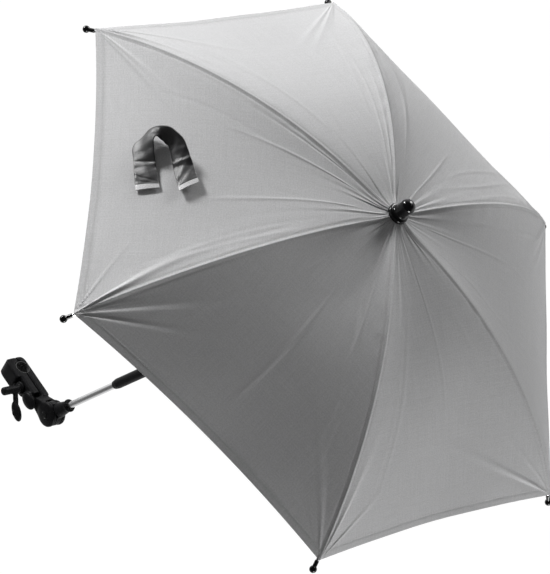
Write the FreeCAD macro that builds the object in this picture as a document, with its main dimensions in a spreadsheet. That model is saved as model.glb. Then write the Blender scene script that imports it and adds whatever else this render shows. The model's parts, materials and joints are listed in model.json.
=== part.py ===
import FreeCAD, Part
import math
import os

import Sketcher

Vector = FreeCAD.Vector
Rotation = FreeCAD.Rotation
Placement = FreeCAD.Placement

# Pram parasol. The origin is the centre of the clamp's bore, where the pram's tube goes. Z runs up the lower
# pole, X from the bore towards the pole, and Y along the clamp's screw. Lengths are millimetres, angles
# degrees.

DRIVING = (
    # fits and clearances
    ("press_gap", 0.02),
    ("running_gap", 0.05),
    ("free_gap", 0.3),
    ("cut_overrun", 2.0),
    # clamp
    ("clamp_lean_angle", 26.0),
    ("bore_radius", 8.0),
    ("pad_thick", 1.2),
    ("pad_edge_gap", 0.5),
    ("jaw_width", 22.5),
    ("jaw_height", 10.8),
    ("jaw_parting", 1.2),
    ("jaw_nose", 17.5),
    ("jaw_nose_round", 4.5),
    ("jaw_tail", 46.0),
    ("jaw_edge", 1.4),
    ("jaw_chin_length", 15.0),
    ("jaw_chin_height", 7.6),
    ("upper_jaw_round", 3.0),
    ("lower_jaw_round", 2.0),
    ("lower_jaw_tail", 40.0),
    ("web_start", 43.5),
    ("web_chin", 4.0),
    ("stud_offset", 21.0),
    ("stud_diameter", 6.0),
    ("stud_seat", 8.0),
    ("stud_hold", 3.5),
    ("knob_seat_gap", 0.3),
    ("knob_flange_radius", 8.0),
    ("knob_flange_height", 2.2),
    ("knob_hub_radius", 5.0),
    ("knob_hub_height", 27.0),
    ("wing_turn_angle", 28.4),
    ("wing_reach", 27.5),
    ("wing_drop", 16.0),
    ("wing_radius", 5.4),
    ("wing_neck", 5.6),
    ("wing_thick", 4.6),
    ("wing_round", 1.2),
    ("jaw_travel", 12.0),
    # knuckle
    ("knuckle_reach", 70.0),
    ("knuckle_rise", 7.0),
    ("knuckle_radius", 15.0),
    ("knuckle_width", 18.0),
    ("tongue_width", 8.0),
    ("bolt_diameter", 5.0),
    ("bolt_head_radius", 6.5),
    ("bolt_head_height", 3.2),
    ("bolt_nut_radius", 5.5),
    ("bolt_nut_height", 4.0),
    # pole
    ("tube_diameter", 8.0),
    ("tube_wall", 0.8),
    ("socket_radius", 6.5),
    ("socket_root_radius", 9.0),
    ("socket_lip_radius", 8.0),
    ("socket_lip_height", 4.0),
    ("taper_share", 0.25),
    ("socket_base", 17.5),
    ("socket_mouth", 36.0),
    ("pole_length", 353.0),
    ("sleeve_low", 126.0),
    ("sleeve_length", 70.0),
    ("sleeve_radius", 6.0),
    ("sleeve_nose_radius", 5.0),
    ("sleeve_nose_length", 6.0),
    # tilt joint
    ("tilt_rest_angle", 8.15),
    ("fork_radius", 8.0),
    ("fork_width", 16.0),
    ("fork_slot", 8.0),
    ("fork_depth", 9.0),
    ("fork_length", 36.0),
    ("tilt_disc_radius", 7.6),
    ("tilt_disc_width", 7.4),
    ("tilt_neck_width", 9.0),
    ("tilt_collar_base", 8.8),
    ("tilt_collar_radius", 6.6),
    ("tilt_collar_top", 22.0),
    ("tilt_seat", 11.0),
    ("pin_diameter", 5.0),
    ("pin_head_radius", 4.2),
    ("pin_head_height", 2.0),
    ("pin_inner", 1.0),
    ("button_inner", 3.4),
    ("button_stroke", 2.0),
    ("button_cap_radius", 4.2),
    ("button_cap_height", 1.8),
    # head
    ("apex_height", 285.0),
    ("crown_drop", 8.0),
    ("pivot_radius", 8.0),
    ("crown_radius", 12.5),
    ("crown_below", 4.0),
    ("crown_above", 4.6),
    ("crown_neck_radius", 6.5),
    ("crown_neck_length", 12.0),
    ("crown_slot_root", 5.3),
    ("crown_groove_root", 7.0),
    ("crown_groove_rim", 10.8),
    ("crown_tube_rise", 1.0),
    ("ring_wire", 1.5),
    ("washer_radius", 10.5),
    ("washer_thick", 1.0),
    ("finial_flange_radius", 11.5),
    ("finial_flange_height", 4.2),
    ("finial_flange_round", 1.8),
    ("finial_foot_round", 2.4),
    ("finial_neck_radius", 7.6),
    ("finial_dome_radius", 8.2),
    ("finial_dome_round", 7.2),
    ("finial_height", 25.0),
    ("finial_stud_radius", 2.0),
    # ribs
    ("tip_circle", 350.0),
    ("canopy_height", 132.0),
    ("rib_arch", 38.5),
    ("rib_wire", 3.0),
    ("rib_start", 7.0),
    ("rib_eye_radius", 2.3),
    ("rib_plate", 2.0),
    ("rib_plate_height", 3.0),
    ("rib_slot", 2.6),
    ("tip_radius", 3.9),
    ("tip_stem_radius", 2.2),
    ("tip_stem_length", 9.5),
    ("tip_bore_rest", 3.0),
    ("tip_bore_gap", 0.25),
    ("saddle_share", 0.9077),
    ("saddle_drop", 5.6),
    ("saddle_length", 5.6),
    ("saddle_width", 5.0),
    ("saddle_foot", 2.6),
    ("rivet_diameter", 1.6),
    ("rivet_head_radius", 1.5),
    ("rivet_head_height", 0.6),
    ("closed_tip_circle", 24.0),
    # stretchers and runner
    ("stretcher_length", 130.0),
    ("stretcher_height", 3.4),
    ("stretcher_eye_radius", 2.3),
    ("trunnion_diameter", 1.8),
    ("trunnion_length", 6.0),
    ("runner_flange_radius", 12.0),
    ("runner_flange_above", 7.0),
    ("runner_flange_below", 1.4),
    ("runner_root_radius", 5.6),
    ("runner_below", 11.0),
    ("runner_above", 15.0),
    ("runner_grip_radius", 6.6),
    ("notch_flare", 3.2),
    # cloth
    ("cloth_thick", 0.8),
    ("cloth_rise", 2.3),
    ("cloth_hole", 7.5),
    ("cloth_corner_back", 11.0),
    ("cloth_seam_gap", 0.4),
    ("cloth_crown_spread", 18.0),
    ("gore_sag", 4.0),
    ("hem_curve_share", 0.024),
    # tie strap
    ("strap_width", 23.5),
    ("strap_thick", 1.0),
    ("strap_along_share", 0.735),
    ("strap_across_share", 0.44),
    ("strap_step_share", 0.02),
)

DOC = FreeCAD.newDocument("pram_parasol")
SHEET = DOC.addObject("Spreadsheet::Sheet", "Dims")
RIB_COUNT = 6
RIB_TURN = 360.0 / RIB_COUNT
FIRST_RIB = RIB_TURN / 2
NODES = []
ROWS = []


class Size:
    """A number together with the sheet formula that it is bound by."""

    def __init__(self, value, text):
        self.value = value
        self.text = text

    def joined(self, other, value, sign):
        text = other.text if isinstance(other, Size) else repr(float(other))
        return Size(value, "(" + self.text + " " + sign + " " + text + ")")

    def __add__(self, other):
        return self.joined(other, self.value + number(other), "+")

    def __sub__(self, other):
        return self.joined(other, self.value - number(other), "-")

    def __mul__(self, other):
        return self.joined(other, self.value * number(other), "*")

    def __truediv__(self, other):
        return self.joined(other, self.value / number(other), "/")

    def __neg__(self):
        return Size(-self.value, "(0 - " + self.text + ")")


def number(item):
    return item.value if isinstance(item, Size) else float(item)


def cell(name, value):
    """Put a value in the sheet under its own alias and return it as a Size."""
    ROWS.append(name)
    row = str(len(ROWS))
    SHEET.set("A" + row, name)
    SHEET.set("B" + row, repr(float(value)))
    SHEET.setAlias("B" + row, name)
    return Size(float(value), "Dims." + name)


D = {name: cell(name, value) for name, value in DRIVING}
DOC.recompute()
ZERO = Size(0.0, "0")


def v(name):
    return D[name].value


def derive(name, value):
    """Keep a worked-out value in the sheet beside the driving ones."""
    D[name] = cell(name, value)
    return D[name]


def bind(item, prop, size):
    setattr(item, prop, number(size))
    if isinstance(size, Size):
        item.setExpression(prop, size.text)


# Layout of the pole and the head

LEAN = math.radians(v("clamp_lean_angle"))
TILT = math.radians(v("tilt_rest_angle"))
POLE_X = v("knuckle_reach") * math.cos(LEAN) - v("knuckle_rise") * math.sin(LEAN)
KNUCKLE_Z = v("knuckle_reach") * math.sin(LEAN) + v("knuckle_rise") * math.cos(LEAN)
PIVOT_Z = KNUCKLE_Z + v("pole_length")
CLAMP = Placement(Vector(0, 0, 0), Rotation(Vector(0, 1, 0), -v("clamp_lean_angle")))
KNUCKLE = Placement(Vector(POLE_X, 0, KNUCKLE_Z), Rotation())
PIVOT = Placement(Vector(POLE_X, 0, PIVOT_Z), Rotation())
HEAD = Placement(Vector(POLE_X, 0, PIVOT_Z), Rotation(Vector(0, 1, 0), -v("tilt_rest_angle")))

# Rib arch: a circle through the crown pivot and the ball, in the rib's own plane (x outwards, z up)

TIP_X = v("tip_circle") - v("pivot_radius")
TIP_Z = v("crown_drop") - v("canopy_height")
CHORD = math.hypot(TIP_X, TIP_Z)
ARCH_RADIUS = (CHORD * CHORD / 4 + v("rib_arch") ** 2) / (2 * v("rib_arch"))
CENTRE_X = TIP_X / 2 - (-TIP_Z / CHORD) * (ARCH_RADIUS - v("rib_arch"))
CENTRE_Z = TIP_Z / 2 - (TIP_X / CHORD) * (ARCH_RADIUS - v("rib_arch"))
ARCH_FROM = math.atan2(-CENTRE_Z, -CENTRE_X)
ARCH_TO = math.atan2(TIP_Z - CENTRE_Z, TIP_X - CENTRE_X)
CROWN_Z = v("apex_height") - v("crown_drop")


def on_arch(angle, offset=0.0):
    """Point of the rib's arch at an angle about its centre, offset outwards."""
    reach = ARCH_RADIUS + offset
    return CENTRE_X + reach * math.cos(angle), CENTRE_Z + reach * math.sin(angle)


def arch_angle(length):
    """Angle of the arch at a length from the crown pivot."""
    return ARCH_FROM - length / ARCH_RADIUS


SADDLE_ANGLE = arch_angle(v("saddle_share") * v("stretcher_length"))
SADDLE_X, SADDLE_Z = on_arch(SADDLE_ANGLE, -v("saddle_drop"))
WIRE_END_ANGLE = ARCH_TO + v("tip_bore_rest") / ARCH_RADIUS
WIRE_START_ANGLE = arch_angle(v("rib_start"))

# Folding: the rib turns down about the crown pivot until its ball lies on the closed circle

FOLD = math.acos((v("closed_tip_circle") - v("pivot_radius")) / CHORD) - math.atan2(-TIP_Z, TIP_X)


def folded(turn):
    """Saddle pivot, seen from the crown pivot, with the rib turned down."""
    x = SADDLE_X * math.cos(turn) + SADDLE_Z * math.sin(turn)
    z = SADDLE_Z * math.cos(turn) - SADDLE_X * math.sin(turn)
    return x, z


def stretched(turn):
    """Runner height below the crown pivots and the stretcher's turn, rib turned down."""
    x, z = folded(turn)
    drop = math.sqrt(v("stretcher_length") ** 2 - x * x)
    return z - drop, math.atan2(drop, -x)


OPEN_Z, OPEN_TURN = stretched(0.0)
CLOSED_Z, CLOSED_TURN = stretched(FOLD)
RUNNER_TRAVEL = OPEN_Z - CLOSED_Z
STRETCHER_TURN = CLOSED_TURN - OPEN_TURN - FOLD
RUNNER_Z = CROWN_Z + OPEN_Z

# The cloth lifts over the washer, and the finial sits on the cloth


def arch_height(radius):
    """Height of the arch over the crown pivots at a radius from the pole."""
    reach = radius - v("pivot_radius") - CENTRE_X
    return CENTRE_Z + math.sqrt(ARCH_RADIUS ** 2 - reach * reach)


def crown_lift(radius, top):
    """Extra height of the cloth near the finial, where it lies on the washer."""
    return top * math.exp(-((radius / v("cloth_crown_spread")) ** 2))


WASHER_TOP = v("crown_above") + v("washer_thick")
HALF_CLOTH = v("cloth_thick") / 2
RIM = v("washer_radius") / math.cos(math.pi / RIB_COUNT)
NEED = WASHER_TOP + v("free_gap") * 2 + HALF_CLOTH - v("cloth_rise") - arch_height(RIM)
LIFT_TOP = NEED / crown_lift(RIM, 1.0)
HOLE = v("cloth_hole")
CLOTH_TOP = arch_height(HOLE) + v("cloth_rise") + crown_lift(HOLE, LIFT_TOP) + HALF_CLOTH

derive("finial_foot", CROWN_Z + CLOTH_TOP + v("free_gap"))
derive("arch_radius", ARCH_RADIUS)
derive("wire_sweep", math.degrees(WIRE_START_ANGLE - WIRE_END_ANGLE))


def rib_place(index):
    """Frame of a rib: origin on its crown pivot, x outwards."""
    turn = Rotation(Vector(0, 0, 1), FIRST_RIB + RIB_TURN * index)
    side = Placement(Vector(0, 0, 0), turn)
    return HEAD * side * Placement(Vector(v("pivot_radius"), 0, CROWN_Z), Rotation())


def stretcher_place(index):
    """Frame of a stretcher: origin on its rib's rivet, x towards the runner."""
    turn = Rotation(Vector(0, 1, 0), math.degrees(OPEN_TURN))
    return rib_place(index) * Placement(Vector(SADDLE_X, 0, SADDLE_Z), turn)


# Helpers for sketched bodies


def body(label, place):
    item = DOC.addObject("PartDesign::Body", label)
    item.Label = label
    item.Placement = place
    NODES.append(item)
    return item


def sketch(owner, name, plane, lift=None):
    item = owner.newObject("Sketcher::SketchObject", name)
    support = [f for f in owner.Origin.OriginFeatures if f.Role == plane][0]
    item.AttachmentSupport = [(support, "")]
    item.MapMode = "FlatFace"
    if lift is not None:
        item.AttachmentOffset = Placement(Vector(0, 0, number(lift)), Rotation())
        item.setExpression("AttachmentOffset.Base.z", lift.text)
    return item


def pin_point(item, geo, pos, x, y, tag):
    """Bind one point of a sketch to its distances from the sketch's origin."""
    for kind, size in (("DistanceX", x), ("DistanceY", y)):
        index = item.addConstraint(Sketcher.Constraint(kind, -1, 1, geo, pos, number(size)))
        name = tag + kind[-1]
        item.renameConstraint(index, name)
        if isinstance(size, Size):
            item.setExpression("Constraints." + name, size.text)


def outline(owner, name, plane, points, lift=None):
    """Closed outline with straight edges through (x, y) points."""
    item = sketch(owner, name, plane, lift)
    count = len(points)
    spots = [Vector(number(x), number(y), 0) for x, y in points]
    for i in range(count):
        item.addGeometry(Part.LineSegment(spots[i], spots[(i + 1) % count]), False)
    for i in range(count):
        item.addConstraint(Sketcher.Constraint("Coincident", i, 2, (i + 1) % count, 1))
    for i, (x, y) in enumerate(points):
        pin_point(item, i, 1, x, y, "p" + str(i))
    return item


def disc(owner, name, plane, rounds, lift=None):
    """Circles given as (x, y, radius)."""
    item = sketch(owner, name, plane, lift)
    for i, (x, y, radius) in enumerate(rounds):
        centre = Vector(number(x), number(y), 0)
        item.addGeometry(Part.Circle(centre, Vector(0, 0, 1), number(radius)), False)
        pin_point(item, i, 3, x, y, "c" + str(i))
        index = item.addConstraint(Sketcher.Constraint("Radius", i, number(radius)))
        item.renameConstraint(index, "radius" + str(i))
        item.setExpression("Constraints.radius" + str(i), radius.text)
    return item


def pad(owner, drawn, length, both=False, back=False):
    item = owner.newObject("PartDesign::Pad", drawn.Name + "_pad")
    item.Profile = drawn
    bind(item, "Length", length)
    item.SideType = "Symmetric" if both else "One side"
    item.Reversed = back
    drawn.Visibility = False
    return item


def pocket(owner, drawn, length, both=False, back=False):
    item = owner.newObject("PartDesign::Pocket", drawn.Name + "_cut")
    item.Profile = drawn
    bind(item, "Length", length)
    item.SideType = "Symmetric" if both else "One side"
    item.Reversed = back
    drawn.Visibility = False
    return item


def spin(owner, drawn, axis, cut=False):
    """Full turn of a drawn outline about one of the body's own axes."""
    kind = "PartDesign::Groove" if cut else "PartDesign::Revolution"
    item = owner.newObject(kind, drawn.Name + "_turned")
    item.Profile = drawn
    line = [f for f in owner.Origin.OriginFeatures if f.Role == axis][0]
    item.ReferenceAxis = (line, [""])
    item.Angle = 360.0
    drawn.Visibility = False
    return item


def edges_where(feature, test):
    DOC.recompute()
    names = []
    for i, edge in enumerate(feature.Shape.Edges):
        if test(edge):
            names.append("Edge" + str(i + 1))
    return names


def rounding(owner, feature, radius, test):
    names = edges_where(feature, test)
    item = owner.newObject("PartDesign::Fillet", feature.Name + "_round")
    item.Base = (feature, names)
    bind(item, "Radius", radius)
    return item


def bevel(owner, feature, width, test):
    names = edges_where(feature, test)
    item = owner.newObject("PartDesign::Chamfer", feature.Name + "_bevel")
    item.Base = (feature, names)
    bind(item, "Size", width)
    return item


def around(owner, feature, axis, count):
    """Repeat a feature round an axis of its body."""
    item = owner.newObject("PartDesign::PolarPattern", feature.Name + "_around")
    item.Originals = [feature]
    line = [f for f in owner.Origin.OriginFeatures if f.Role == axis][0]
    item.Axis = (line, [""])
    item.Angle = 360.0
    item.Occurrences = count
    owner.Tip = item
    return item


# Helpers for plain solids


def block(name, length, width, height, place):
    item = DOC.addObject("Part::Box", name)
    bind(item, "Length", length)
    bind(item, "Width", width)
    bind(item, "Height", height)
    item.Placement = place
    return item


def rod(name, radius, height, place):
    item = DOC.addObject("Part::Cylinder", name)
    bind(item, "Radius", radius)
    bind(item, "Height", height)
    item.Placement = place
    return item


def across(x, z, length):
    """Frame of a rod that lies along y, centred on the rib's plane."""
    return Placement(Vector(x, length / 2, z), Rotation(Vector(1, 0, 0), 90))


def fused(name, items):
    item = DOC.addObject("Part::MultiFuse", name)
    item.Shapes = items
    item.Refine = True
    return item


def less(label, base, tools, place):
    """A finished piece: base with the tools taken away."""
    item = DOC.addObject("Part::Cut", label)
    item.Base = base
    item.Tool = tools[0] if len(tools) == 1 else fused(label + "_tools", tools)
    item.Refine = True
    item.Label = label
    item.Placement = place
    NODES.append(item)
    return item


def is_upright(edge, low, high):
    """Straight edge along z between two heights."""
    if len(edge.Vertexes) != 2:
        return False
    a, b = (p.Point for p in edge.Vertexes)
    flat = math.hypot(a.x - b.x, a.y - b.y)
    return flat < v("press_gap") and min(a.z, b.z) > low and max(a.z, b.z) < high


# Clamp: jaws, pads, stud, wing knob and knuckle bolt

HALF_PART = D["jaw_parting"] / 2
JAW_TOP = HALF_PART + D["jaw_height"]
SEAT = D["bore_radius"] + D["pad_thick"]
OVER = D["cut_overrun"]

# The jaws, pads, stud and knob are drawn with z along the screw and y down across the tube's bore

CLAMP_SIDE = CLAMP * Placement(Vector(0, 0, 0), Rotation(Vector(1, 0, 0), -90))


def jaw(label, tail, rim, down):
    """Half of the clamp up to its rounded nose, with the pad's seat still to cut."""
    owner = body(label, CLAMP_SIDE)
    side = D["jaw_width"] / 2
    plan = [
        (-D["jaw_nose"], -side),
        (tail, -side),
        (tail, side - D["jaw_chin_height"]),
        (tail - D["jaw_chin_length"], side),
        (-D["jaw_nose"], side),
    ]
    level = -HALF_PART if down else HALF_PART
    first = pad(owner, outline(owner, label + "_plan", "XY_Plane", plan, level), D["jaw_height"], back=down)
    nose = -v("jaw_nose") + v("press_gap")

    def at_nose(edge):
        tall = is_upright(edge, -number(JAW_TOP) - v("cut_overrun"), number(JAW_TOP) + v("cut_overrun"))
        return tall and edge.Vertexes[0].Point.x < nose

    rounded = rounding(owner, first, D["jaw_nose_round"], at_nose)
    far = number(JAW_TOP) - v("press_gap")

    def at_rim(edge):
        return all(abs(p.Point.z) > far for p in edge.Vertexes)

    rounding(owner, rounded, rim, at_rim)
    seat = disc(owner, label + "_seat", "XZ_Plane", [(ZERO, ZERO, SEAT)])
    pocket(owner, seat, D["jaw_width"] + OVER, both=True)
    return owner


upper = jaw("upper_jaw", D["jaw_tail"], D["upper_jaw_round"], False)
KX, KZ = D["knuckle_reach"], D["knuckle_rise"]
KR = D["knuckle_radius"]
web_top = D["jaw_width"] / 2 - D["upper_jaw_round"]
web = [(D["web_start"], -web_top), (KX, -KZ - KR), (KX, KR - KZ), (D["web_start"], D["web_chin"])]
pad(upper, outline(upper, "upper_jaw_web", "XY_Plane", web), D["knuckle_width"], both=True)
pad(upper, disc(upper, "upper_jaw_lug", "XY_Plane", [(KX, -KZ, KR)]), D["knuckle_width"], both=True)
slot_radius = KR + D["free_gap"] * 2
slot = disc(upper, "upper_jaw_slot", "XY_Plane", [(KX, -KZ, slot_radius)])
pocket(upper, slot, D["tongue_width"] + D["free_gap"] * 2, both=True)
BOLT = D["bolt_diameter"] / 2
hole = disc(upper, "upper_jaw_bolt", "XY_Plane", [(KX, -KZ, BOLT + D["press_gap"])])
pocket(upper, hole, D["knuckle_width"] + OVER, both=True)
STUD = D["stud_diameter"] / 2
hole = disc(upper, "upper_jaw_stud", "XY_Plane", [(D["stud_offset"], ZERO, STUD + D["press_gap"])])
pocket(upper, hole, HALF_PART + D["stud_seat"], back=True)

lower = jaw("lower_jaw", D["lower_jaw_tail"], D["lower_jaw_round"], True)
hole = disc(lower, "lower_jaw_stud", "XY_Plane", [(D["stud_offset"], ZERO, STUD + D["free_gap"])])
pocket(lower, hole, JAW_TOP + OVER)


def grip_pad(label, down):
    """Half round rubber lining of a jaw."""
    owner = body(label, CLAMP_SIDE)
    width = D["jaw_width"] - D["pad_edge_gap"] * 2
    rim = disc(owner, label + "_rim", "XZ_Plane", [(ZERO, ZERO, SEAT - D["press_gap"])])
    pad(owner, rim, width, both=True)
    bore = disc(owner, label + "_bore", "XZ_Plane", [(ZERO, ZERO, D["bore_radius"])])
    pocket(owner, bore, D["jaw_width"] + OVER, both=True)
    wide = SEAT + OVER
    near = -HALF_PART if down else HALF_PART
    far = SEAT + OVER if down else -SEAT - OVER
    half = [(-wide, near), (wide, near), (wide, far), (-wide, far)]
    pocket(owner, outline(owner, label + "_half", "XZ_Plane", half), D["jaw_width"] + OVER, both=True)


grip_pad("upper_grip_pad", False)
grip_pad("lower_grip_pad", True)

STUD_PLACE = CLAMP_SIDE * Placement(Vector(v("stud_offset"), 0, 0), Rotation())
STUD_TOP = HALF_PART + D["stud_seat"] - D["press_gap"]
STUD_END = -JAW_TOP - D["jaw_travel"] - D["stud_hold"]
stud = body("clamp_stud", STUD_PLACE)
bevel_width = D["jaw_edge"] / 2
turned = [
    (ZERO, STUD_END),
    (STUD - bevel_width, STUD_END),
    (STUD, STUD_END + bevel_width),
    (STUD, STUD_TOP),
    (ZERO, STUD_TOP),
]
spin(stud, outline(stud, "clamp_stud_half", "XZ_Plane", turned), "Z_Axis")

WING_TURN = Placement(Vector(0, 0, 0), Rotation(Vector(0, 0, 1), v("wing_turn_angle")))
knob = body("wing_knob", STUD_PLACE * WING_TURN)
KNOB_TOP = -JAW_TOP - D["knob_seat_gap"]
KNOB_END = KNOB_TOP - D["knob_hub_height"]
FLANGE_LOW = KNOB_TOP - D["knob_flange_height"]
BORE_END = STUD_END - D["free_gap"]
inner = STUD + D["running_gap"]
turned = [
    (inner, KNOB_TOP),
    (D["knob_flange_radius"], KNOB_TOP),
    (D["knob_flange_radius"], FLANGE_LOW),
    (D["knob_hub_radius"], FLANGE_LOW - D["jaw_edge"]),
    (D["knob_hub_radius"], KNOB_END + D["jaw_edge"]),
    (D["knob_hub_radius"] - D["jaw_edge"], KNOB_END),
    (ZERO, KNOB_END),
    (ZERO, BORE_END),
    (inner, BORE_END),
]
spin(knob, outline(knob, "wing_knob_half", "XZ_Plane", turned), "Z_Axis")
root_x = D["knob_hub_radius"] - D["jaw_edge"]
root_z = FLANGE_LOW - D["wing_neck"] - D["jaw_edge"]
tip_z = KNOB_TOP - D["wing_drop"]
half_wing = D["wing_neck"] / 2
neck = [
    (root_x, root_z + half_wing),
    (D["wing_reach"], tip_z + half_wing),
    (D["wing_reach"], tip_z - half_wing),
    (root_x, root_z - half_wing),
]
pad(knob, outline(knob, "wing_neck", "XZ_Plane", neck), D["wing_thick"], both=True)
paddle = disc(knob, "wing_paddle", "XZ_Plane", [(D["wing_reach"], tip_z, D["wing_radius"])])
paddle = pad(knob, paddle, D["wing_thick"], both=True)


def at_paddle(edge):
    """Round edge of the paddle's face."""
    round_edge = isinstance(edge.Curve, Part.Circle) and edge.Curve.Radius > v("wing_radius") - v("press_gap")
    return round_edge and all(p.Point.x > v("wing_reach") - v("wing_radius") for p in edge.Vertexes)


bevel(knob, paddle, D["wing_round"], at_paddle)

BOLT_PLACE = CLAMP * Placement(Vector(v("knuckle_reach"), 0, v("knuckle_rise")), Rotation())
half_lug = D["knuckle_width"] / 2
bolt = body("knuckle_bolt", BOLT_PLACE)
nut_out = half_lug + D["bolt_nut_height"]
head_out = half_lug + D["bolt_head_height"]
turned = [
    (ZERO, -head_out),
    (D["bolt_head_radius"] / 2, -head_out),
    (D["bolt_head_radius"], -half_lug - D["bolt_head_height"] * D["taper_share"]),
    (D["bolt_head_radius"], -half_lug),
    (BOLT, -half_lug),
    (BOLT, nut_out),
    (ZERO, nut_out),
]
spin(bolt, outline(bolt, "knuckle_bolt_half", "XY_Plane", turned), "Y_Axis")
nut = body("knuckle_nut", BOLT_PLACE)
turned = [
    (BOLT + D["press_gap"], half_lug),
    (D["bolt_nut_radius"], half_lug),
    (D["bolt_nut_radius"], nut_out - bevel_width),
    (D["bolt_nut_radius"] - bevel_width, nut_out),
    (BOLT + D["press_gap"], nut_out),
]
spin(nut, outline(nut, "knuckle_nut_half", "XY_Plane", turned), "Y_Axis")

# Pole: socket, lower tube, sleeve and tilt fork

TUBE = D["tube_diameter"] / 2
TUBE_FIT = TUBE + D["press_gap"]
socket = body("pole_socket", KNUCKLE)
tongue_radius = KR - D["free_gap"] * 2
drawn = disc(socket, "socket_tongue", "XZ_Plane", [(ZERO, ZERO, tongue_radius)])
pad(socket, drawn, D["tongue_width"], both=True)
neck_half = D["socket_root_radius"]
neck = [
    (-neck_half, ZERO),
    (neck_half, ZERO),
    (neck_half, D["socket_base"]),
    (-neck_half, D["socket_base"]),
]
pad(socket, outline(socket, "socket_neck", "XZ_Plane", neck), D["tongue_width"], both=True)
collar_low = KR + D["free_gap"] * 2
lip_low = D["socket_mouth"] - D["socket_lip_height"]
turned = [
    (ZERO, collar_low),
    (D["socket_root_radius"], collar_low),
    (D["socket_radius"], lip_low),
    (D["socket_lip_radius"], D["socket_mouth"] - D["socket_lip_height"] * D["taper_share"]),
    (D["socket_lip_radius"], D["socket_mouth"]),
    (ZERO, D["socket_mouth"]),
]
spin(socket, outline(socket, "socket_half", "XZ_Plane", turned), "Z_Axis")
hole = disc(socket, "socket_bore", "XY_Plane", [(ZERO, ZERO, TUBE_FIT)], D["socket_base"])
pocket(socket, hole, D["socket_mouth"] - D["socket_base"] + OVER, back=True)
hole = disc(socket, "socket_bolt", "XZ_Plane", [(ZERO, ZERO, BOLT + D["running_gap"])])
pocket(socket, hole, D["tongue_width"] + OVER, both=True)


def tube(label, place, low, high):
    owner = body(label, place)
    rounds = [(ZERO, ZERO, TUBE), (ZERO, ZERO, TUBE - D["tube_wall"])]
    wall = disc(owner, label + "_wall", "XY_Plane", rounds, low)
    pad(owner, wall, high - low)
    return owner


FORK_SEAT = D["pole_length"] - D["fork_depth"] - D["fork_radius"] / 2
tube("lower_tube", KNUCKLE, D["socket_base"], FORK_SEAT)

sleeve = body("pole_sleeve", KNUCKLE)
nose_top = D["sleeve_low"] + D["sleeve_nose_length"]
sleeve_top = D["sleeve_low"] + D["sleeve_length"]
turned = [
    (TUBE_FIT, D["sleeve_low"]),
    (D["sleeve_nose_radius"], D["sleeve_low"]),
    (D["sleeve_radius"], nose_top),
    (D["sleeve_radius"], sleeve_top - D["sleeve_nose_length"] * D["taper_share"]),
    (D["sleeve_nose_radius"], sleeve_top),
    (TUBE_FIT, sleeve_top),
]
spin(sleeve, outline(sleeve, "pole_sleeve_half", "XZ_Plane", turned), "Z_Axis")

PIN = D["pin_diameter"] / 2
fork = body("tilt_fork", PIVOT)
FR = D["fork_radius"]
pad(fork, disc(fork, "fork_cheeks", "XZ_Plane", [(ZERO, ZERO, FR)]), D["fork_width"], both=True)
shoulder = D["fork_depth"] + D["fork_radius"] / 2
web = [(-FR, ZERO), (FR, ZERO), (FR, -shoulder), (-FR, -shoulder)]
pad(fork, outline(fork, "fork_web", "XZ_Plane", web), D["fork_width"], both=True)
turned = [
    (ZERO, -D["fork_length"]),
    (D["sleeve_radius"], -D["fork_length"]),
    (FR, -shoulder - D["fork_radius"]),
    (FR, -D["fork_depth"]),
    (ZERO, -D["fork_depth"]),
]
spin(fork, outline(fork, "fork_stem", "XZ_Plane", turned), "Z_Axis")
past = FR + OVER
gap = [(-past, -D["fork_depth"]), (past, -D["fork_depth"]), (past, past), (-past, past)]
pocket(fork, outline(fork, "fork_gap", "XZ_Plane", gap), D["fork_slot"], both=True)
hole = disc(fork, "fork_pin", "XZ_Plane", [(ZERO, ZERO, PIN + D["running_gap"])])
pocket(fork, hole, D["fork_width"] + OVER, both=True)
hole = disc(fork, "fork_bore", "XY_Plane", [(ZERO, ZERO, TUBE_FIT)], -D["fork_length"])
pocket(fork, hole, D["fork_length"] - shoulder, back=True)

pin = body("tilt_pin", PIVOT)
half_fork = D["fork_width"] / 2
pin_out = half_fork + D["pin_head_height"]
turned = [
    (ZERO, -D["pin_inner"]),
    (PIN, -D["pin_inner"]),
    (PIN, half_fork),
    (D["pin_head_radius"], half_fork),
    (D["pin_head_radius"], pin_out - bevel_width),
    (D["pin_head_radius"] - bevel_width, pin_out),
    (ZERO, pin_out),
]
spin(pin, outline(pin, "tilt_pin_half", "XY_Plane", turned), "Y_Axis")

button = body("tilt_button", PIVOT)
cap_in = half_fork + D["button_stroke"] + D["free_gap"]
cap_out = cap_in + D["button_cap_height"]
turned = [
    (ZERO, -D["button_inner"]),
    (PIN, -D["button_inner"]),
    (PIN, -cap_in),
    (D["button_cap_radius"], -cap_in),
    (D["button_cap_radius"], -cap_out + bevel_width),
    (D["button_cap_radius"] - bevel_width, -cap_out),
    (ZERO, -cap_out),
]
spin(button, outline(button, "tilt_button_half", "XY_Plane", turned), "Y_Axis")

# Head: tilt tongue, upper tube, crown, ring, washer and finial

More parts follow.
